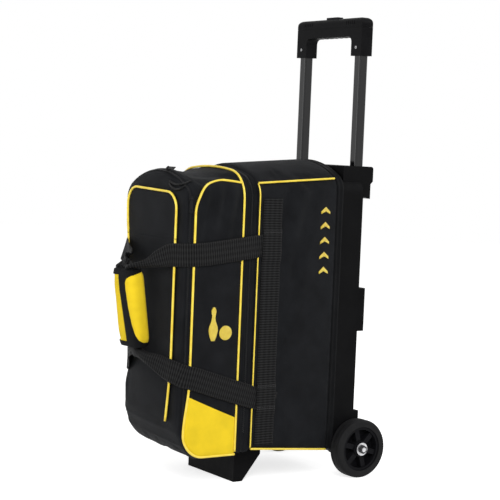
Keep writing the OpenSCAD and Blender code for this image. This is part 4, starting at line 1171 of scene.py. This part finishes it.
# Each band lies over the ends of its loop.
for where, side in (("near", 1), ("far", -1)):
    z = np.linspace(band_low, band_high, 120)
    over = sum(np.clip((0.040 - np.abs(z - end)) / 0.012, 0, 1)
               for end in (strap_high + 0.020, strap_low - 0.064))
    ripple = 0.0003 * np.sin(30 * z) * np.sin(11 * z) + 0.0026 * smooth(over)
    line = np.stack([side * (bag_half + 0.0003 + webbing_t / 2 + ripple), band_middle + 0 * z, z], 1)
    webbing_run(f"side_band_{where}_webbing", line, np.broadcast_to([[0, -side * 1.0, 0]], line.shape),
                f"side_band_{where}")


# ---- Zip pulls ----
# Two moulded rubber pulls on the front zip's top slider, which lie on the cloth beside the flap's corner.

pull_rubber, pull_tree, pull_coat = surface("pull_rubber", (0.0012, 0.0012, 0.0014), 0.42,
                                            **{"Specular IOR Level": 0.12})
pull_where = object_place(pull_tree)
mottle(pull_tree, pull_coat, "Roughness", pull_where, 400.0, 0.2, 0.5)
pull_bands = node(pull_tree, "ShaderNodeTexNoise", {"Vector": pull_where, "Scale": 420.0, "Detail": 1.0})
grain(pull_tree, pull_coat, pull_bands.outputs[0], 0.0012)
front_tree = tree_of(front_fabric)
pull_half_w, pull_half_t, pull_clear = 0.0024, 0.0016, 0.0022
octagon = np.array([[1, 0], [0.75, 0.75], [0, 1], [-0.75, 0.75],
                    [-1, 0], [-0.75, -0.75], [0, -1], [0.75, -0.75]])
# A pull's middle line from its slider outwards: x, distance behind the section's front, and height.
pull_lines = (
    ((0.0610, 0.0035, 0.6320), (0.0755, 0.0035, 0.6275), (0.0930, 0.0050, 0.6255),
     (0.1030, 0.0130, 0.6285), (0.1055, 0.0245, 0.6340)),
    ((0.0610, 0.0025, 0.6285), (0.0715, 0.0015, 0.6210), (0.0885, 0.0020, 0.6165),
     (0.1035, 0.0045, 0.6195), (0.1075, 0.0130, 0.6260)))
for number, line in enumerate(pull_lines):
    hits = [front_tree.find_nearest(Vector((x, front_face + back, z)))[:2] for x, back, z in line]
    pull_path = smooth_through([tuple(place + normal * pull_clear) for place, normal in hits], 28)
    pull_out = smooth_through([tuple(normal) for _, normal in hits], 28)
    pull = carried(f"top_zip_pull_{number}", pull_path, octagon * (pull_half_w, pull_half_t),
                   np.cross(pull_out, np.gradient(pull_path, axis=0)))
    wear(pull, pull_rubber)
    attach(pull, "top_slider")


# ---- Padded wrap of the carry handle ----
# A yellow padded sleeve round both loops, bound in black at its ends, and its overlapping flap: a yellow pad
# on a wider black backing, which opens on a hook-and-loop fastening.

wrap_half_w, wrap_half_t, wrap_forward = 0.0365, 0.0152, 0.0028
wrap_power, wrap_turn = 4, math.radians(8)
lean = np.array(Matrix.Rotation(wrap_tilt, 3, "X") @ Matrix.Rotation(wrap_turn, 3, "Z"))


def at_wrap(local):
    """Places given in the wrap's own axes, moved to the wrap."""
    return local @ lean.T + np.array([0, depth(-wrap_out - wrap_forward), wrap_middle])


def oval(half_w, half_t, count):
    """A rounded oblong as a superellipse, from the near side round by the front."""
    a = np.linspace(0, 2 * math.pi, count, endpoint=False)
    c, s = np.cos(a), np.sin(a)
    return np.stack([half_w * np.sign(c) * np.abs(c) ** (2 / wrap_power),
                     -half_t * np.sign(s) * np.abs(s) ** (2 / wrap_power)], 1)


def sleeve(name, z, half_w, half_t):
    """A sleeve of oval sections at heights z in the wrap's axes."""
    ring = np.stack([np.concatenate([oval(w, t, 72), np.full((72, 1), h)], 1)
                     for h, w, t in zip(z, half_w, half_t)])
    return grid_piece(name, at_wrap(ring), capped=True)


wrap_z = np.linspace(-wrap_length / 2 + 0.003, wrap_length / 2 - 0.003, 34)
share = np.abs(wrap_z) / (wrap_length / 2)
wrap_pad = sleeve("wrap_padding", wrap_z, wrap_half_w - 0.001 - 0.005 * share ** 5,
                  wrap_half_t - 0.001 - 0.004 * share ** 5)
wrap_heights = (places(wrap_pad) - at_wrap(np.zeros((1, 3)))) @ lean[:, 2]
puff(wrap_pad, np.abs(wrap_heights) > wrap_length / 2 - 0.010, 4.0, 0.0012)
wear(wrap_pad, yellow_cloth)
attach(wrap_pad, "root")
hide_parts("handle_wrap")
for where, end in (("upper", 1), ("lower", -1)):
    edge_z = end * (wrap_length / 2 - np.array([0, 0.0012, 0.0115, 0.013]))
    edge = sleeve(f"wrap_{where}_binding", edge_z[::-end],
                  wrap_half_w - np.array([0.0065, 0.0042, 0.0015, 0.0040])[::-end],
                  wrap_half_t - np.array([0.005, 0.0028, 0.0008, 0.0030])[::-end])
    wear(edge, binding_cloth)
    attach(edge, "root")

hinge_round, side_end, backing_thick = 0.0275, 0.063, 0.0021
backing_edge = np.array([(-0.0805, 0.012), (-0.079, 0.008), (-0.074, 0.0045), (-0.065, 0.0025),
                         (0, -0.0025), (0.040, -0.006), (0.065, -0.0055), (0.074, -0.0035),
                         (0.079, 0.001), (0.0805, 0.007)])
pad_edge = np.array([(-0.0735, 0.055), (-0.072, 0.044), (-0.066, 0.0365), (-0.055, 0.0315), (-0.030, 0.0255),
                     (0.005, 0.0200), (0.040, 0.0172), (0.055, 0.0172), (0.062, 0.0200), (0.066, 0.024),
                     (0.0695, 0.032), (0.0725, 0.044), (0.0740, 0.056)])


def on_wrap(t, z, off):
    """Places on the wrap: t metres round its section from the middle of its front towards the near side, and
    off metres out from it. The section is the superellipse |x / half_w| ** 4 + |y / half_t| ** 4 = 1."""
    a = np.linspace(math.pi / 2, -math.pi / 2, 800)
    x = wrap_half_w * np.abs(np.cos(a)) ** (2 / wrap_power)
    y = -wrap_half_t * np.sign(np.sin(a)) * np.abs(np.sin(a)) ** (2 / wrap_power)
    round_to = np.concatenate([[0], np.cumsum(np.hypot(np.diff(x), np.diff(y)))])
    out_x = (x / wrap_half_w) ** 3 / wrap_half_w
    out_y = np.sign(y) * np.abs(y / wrap_half_t) ** 3 / wrap_half_t
    length = np.hypot(out_x, out_y)
    x, y, out_x, out_y = (np.interp(np.abs(t), round_to, v) for v in (x, y, out_x / length, out_y / length))
    return at_wrap(np.stack(np.broadcast_arrays(np.sign(t) * (x + off * out_x), y + off * out_y, z), -1))


def wrap_panel(name, z, left, right, high, body, paint):
    """A closed panel on the wrap between two edges, each a distance round it at the heights z; `high` gives
    how far its face stands off the wrap."""
    f = (1 - np.cos(np.linspace(0, math.pi, 22)))[None] / 2
    t = left[:, None] + (right - left)[:, None] * f
    zz = np.broadcast_to(z[:, None], t.shape)
    face = on_wrap(t, zz, high(t, zz))
    back = on_wrap(t, zz, np.full(t.shape, 0.0002))
    panel = grid_piece(name, np.concatenate([face, back[:, ::-1]], 1), capped=True)
    panel.data.set_sharp_from_angle(angle=math.radians(50))
    wear(panel, paint)
    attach(panel, body)
    return panel


def pad_height(t, z):
    """The yellow pad's face: a round edge 6 mm wide, a slight belly and seams that pull it in crosswise."""
    inside = np.clip((t - np.interp(z, *pad_edge.T)) / 0.006, 0, 1)
    ends = 1 - np.abs(z / 0.0745) ** 14
    seams = 0.0004 * np.sin(2 * np.pi * z / 0.018) * mound(t, 0.034, 0.016)
    return backing_thick + np.sqrt(1 - (1 - inside) ** 2) * ends * (0.0034 + 0.0012 * np.sin(t * 50) + seams)


even = np.sin(np.linspace(-math.pi / 2, math.pi / 2, 60))
back_z = 0.0805 * even
pad_z = 0.00025 + 0.0737 * even
on_flap = pad_z[np.interp(pad_z, *pad_edge.T) < hinge_round - 0.0015]
flap_backing = wrap_panel("wrap_flap_binding", back_z, np.interp(back_z, *backing_edge.T),
                          0 * back_z + hinge_round, lambda t, z: backing_thick + 0 * t, "wrap_flap",
                          binding_cloth)
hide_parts("wrap_flap")
wrap_panel("wrap_flap_padding", on_flap, np.interp(on_flap, *pad_edge.T), 0 * on_flap + hinge_round,
           pad_height, "wrap_flap", yellow_cloth)
wrap_panel("wrap_side_binding", back_z, 0 * back_z + hinge_round, 0 * back_z + side_end,
           lambda t, z: backing_thick + 0 * t, "root", binding_cloth)
wrap_panel("wrap_side_padding", pad_z, np.maximum(np.interp(pad_z, *pad_edge.T), hinge_round),
           0 * pad_z + side_end - 0.002, pad_height, "root", yellow_cloth)


# ---- Embroidered motifs ----
# Plain yellow satin stitch: a ball-and-pin sign on each side pocket and five lane arrows up each side panel.

satin, satin_tree, satin_coat = surface("satin_stitch", (0.86, 0.63, 0.05), 0.42, **{"Sheen Weight": 0.2,
                                                                                    "Sheen Roughness": 0.3})
satin_where = object_place(satin_tree)
satin_lines = node(satin_tree, "ShaderNodeMapping", {"Vector": satin_where, "Scale": (1, 1, 1),
                                                     "Rotation": (0.5, 0, 0)})
satin_threads = node(satin_tree, "ShaderNodeTexWave", {"Vector": satin_lines.outputs[0], "Scale": 420.0,
                                                       "Distortion": 1.5, "Detail": 1.0}, bands_direction="Z")
mottle(satin_tree, satin_coat, "Base Color", satin_where, 90.0, (0.78, 0.55, 0.035), (0.90, 0.70, 0.07))
grain(satin_tree, satin_coat, satin_threads.outputs[1], 0.0004)


def patch(name, outline, centre, side, trees):
    """A raised patch: an outline of [back, up] pairs about a place, laid on the side and domed a little."""
    rings = []
    middle = outline.mean(0)
    for shrink, proud in ((1.0, -0.0004), (1.0, 0.0005), (0.93, 0.0009), (0.6, 0.0010), (0.25, 0.0010)):
        pairs = middle + (outline - middle) * shrink
        rows = []
        for back, up_by in pairs:
            start = Vector((side * (bag_half + 0.05), centre.y + back, centre.z + up_by))
            hits = [tree.ray_cast(start, Vector((-side, 0, 0))) for tree in trees]
            x = max((side * hit[0].x for hit in hits if hit[0] is not None), default=bag_half)
            rows.append((side * (x + proud), start.y, start.z))
        rings.append(rows)
    obj = grid_piece(name, np.array(rings), capped=True)
    wear(obj, satin)
    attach(obj, "root")
    return obj


def pin_outline(height):
    """A bowling pin's outline: half widths up its height, mirrored."""
    up = np.array([0, 0.02, 0.12, 0.30, 0.42, 0.58, 0.70, 0.78, 0.88, 0.97, 1.0])
    half = np.array([0.055, 0.07, 0.115, 0.16, 0.145, 0.075, 0.055, 0.065, 0.085, 0.05, 0.012])
    t = np.linspace(0, 1, 40)
    w = np.interp(t, up, half) * height
    return np.concatenate([np.stack([w, (t - 0.5) * height], 1), np.stack([-w, (t - 0.5) * height], 1)[::-1]])


pocket_tree = tree_of(bpy.data.objects["pocket_near_cloth"])
side_tree = tree_of(main_fabric)
pocket_tree_far = tree_of(bpy.data.objects["pocket_far_cloth"])
motif_place, _ = seen_at(image_points["pocket motif"], [pocket_tree])
arrow_place, _ = seen_at(image_points["side motif"], [side_tree])
ball_ring = arc((0, 0), 1.0, 0, 360, 41)[:-1]
arrow = np.array([[-1, -0.55], [-1, -0.1], [0, 0.75], [1, -0.1], [1, -0.55], [0, 0.25]])
arrow = np.concatenate([np.linspace(a, b, 6, endpoint=False) for a, b in zip(arrow, np.roll(arrow, -1, 0))])
for where, side, trees_pocket in (("near", 1, [pocket_tree]), ("far", -1, [pocket_tree_far])):
    patch(f"pin_patch_{where}", pin_outline(0.070) + [-0.012, 0], motif_place, side, trees_pocket)
    patch(f"ball_patch_{where}", ball_ring * 0.015 + [0.018, -0.019], motif_place, side, trees_pocket)
    for number, step in enumerate((-0.064, -0.032, 0.0, 0.032, 0.064)):
        patch(f"arrow_patch_{where}_{number}", arrow * 0.012 + [0, step], arrow_place, side, [side_tree])


# ---- Stitching ----
# Black lockstitch where the loops are sewn to the side bands, in two rows across the webbing.

thread, thread_tree, thread_coat = surface("black_thread", (0.03, 0.03, 0.032), 0.5)
thread_noise = mottle(thread_tree, thread_coat, "Base Color", object_place(thread_tree), 500.0,
                      (0.02, 0.02, 0.021), (0.045, 0.045, 0.047))
grain(thread_tree, thread_coat, thread_noise, 0.0001)
stitch = bead_block(0.0030, 0.0008, 0.0007)
stitch_step = 0.0040


def stitches(name, path, out, body="root"):
    """A row of stitches along a path, lying on what is under it."""
    middle, along = evenly(path, stitch_step)
    row = row_of(name, stitch, middle, along, np.broadcast_to(out, middle.shape))
    wear(row, thread)
    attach(row, body)
    return row


near_strap = bpy.data.objects["strap_near_webbing"]
near_band = bpy.data.objects["side_band_near_webbing"]
webbing_trees = [tree_of(near_strap), tree_of(near_band)]
for label in ("upper webbing stitches", "lower webbing stitches", "webbing end stitches"):
    middle_place, _ = seen_at(image_points[label], webbing_trees)
    for where, side in (("near", 1), ("far", -1)):
        for row_number, drop in enumerate((0.0, 0.004)):
            y = np.linspace(band_middle - 0.021, band_middle + 0.021, 12)
            surface_x = side * (middle_place.x + 0.0004)
            path = np.stack([np.full(12, surface_x), y, np.full(12, middle_place.z - drop)], 1)
            stitches(f"{label.replace(' ', '_')}_{where}_{row_number}", path, (side * 1.0, 0, 0))


# ---- Places in view ----
# Image places of the finished vertices that the camera sees: of every piece, of each thing that has an image
# point, and of the grip screws.

depsgraph = bpy.context.evaluated_depsgraph_get()


def in_view(*names, least_x=-9.0):
    """Image places of the named pieces' vertices that the camera sees, from x = least_x on."""
    found = []
    for name in names:
        obj = bpy.data.objects[name].evaluated_get(depsgraph)
        shape = obj.to_mesh()
        points = np.array([obj.matrix_world @ v.co for v in shape.vertices])
        points = points[points[:, 0] >= least_x]
        step = max(1, len(points) // 3000)
        for p in points[::step]:
            away = Vector(p) - camera_place
            hit, where, *_ = bpy.context.scene.ray_cast(depsgraph, camera_place, away.normalized())
            if not hit or (where - camera_place).length > away.length - 0.0015:
                found.append(p)
    return pixels(np.array(found)) if found else np.full((1, 2), np.nan)


every_piece = [o.name for o in bpy.context.scene.objects
               if o.type == "MESH" and not o.hide_render and o != floor]
everything = np.concatenate([in_view(name) for name in every_piece])
for label, names in {
        "wheel": ("tyre_near",), "button": ("release_button",),
        "pocket motif": ("pin_patch_near", "ball_patch_near"), "side motif": ("arrow_patch_near_2",),
        "upper webbing stitches": ("upper_webbing_stitches_near_0",),
        "lower webbing stitches": ("lower_webbing_stitches_near_0",),
        "webbing end stitches": ("webbing_end_stitches_near_0",),
        "coloured panel": ("accent_near_cloth",)}.items():
    seen = in_view(*names)
screw = in_view("grip_screws", least_x=0.0)
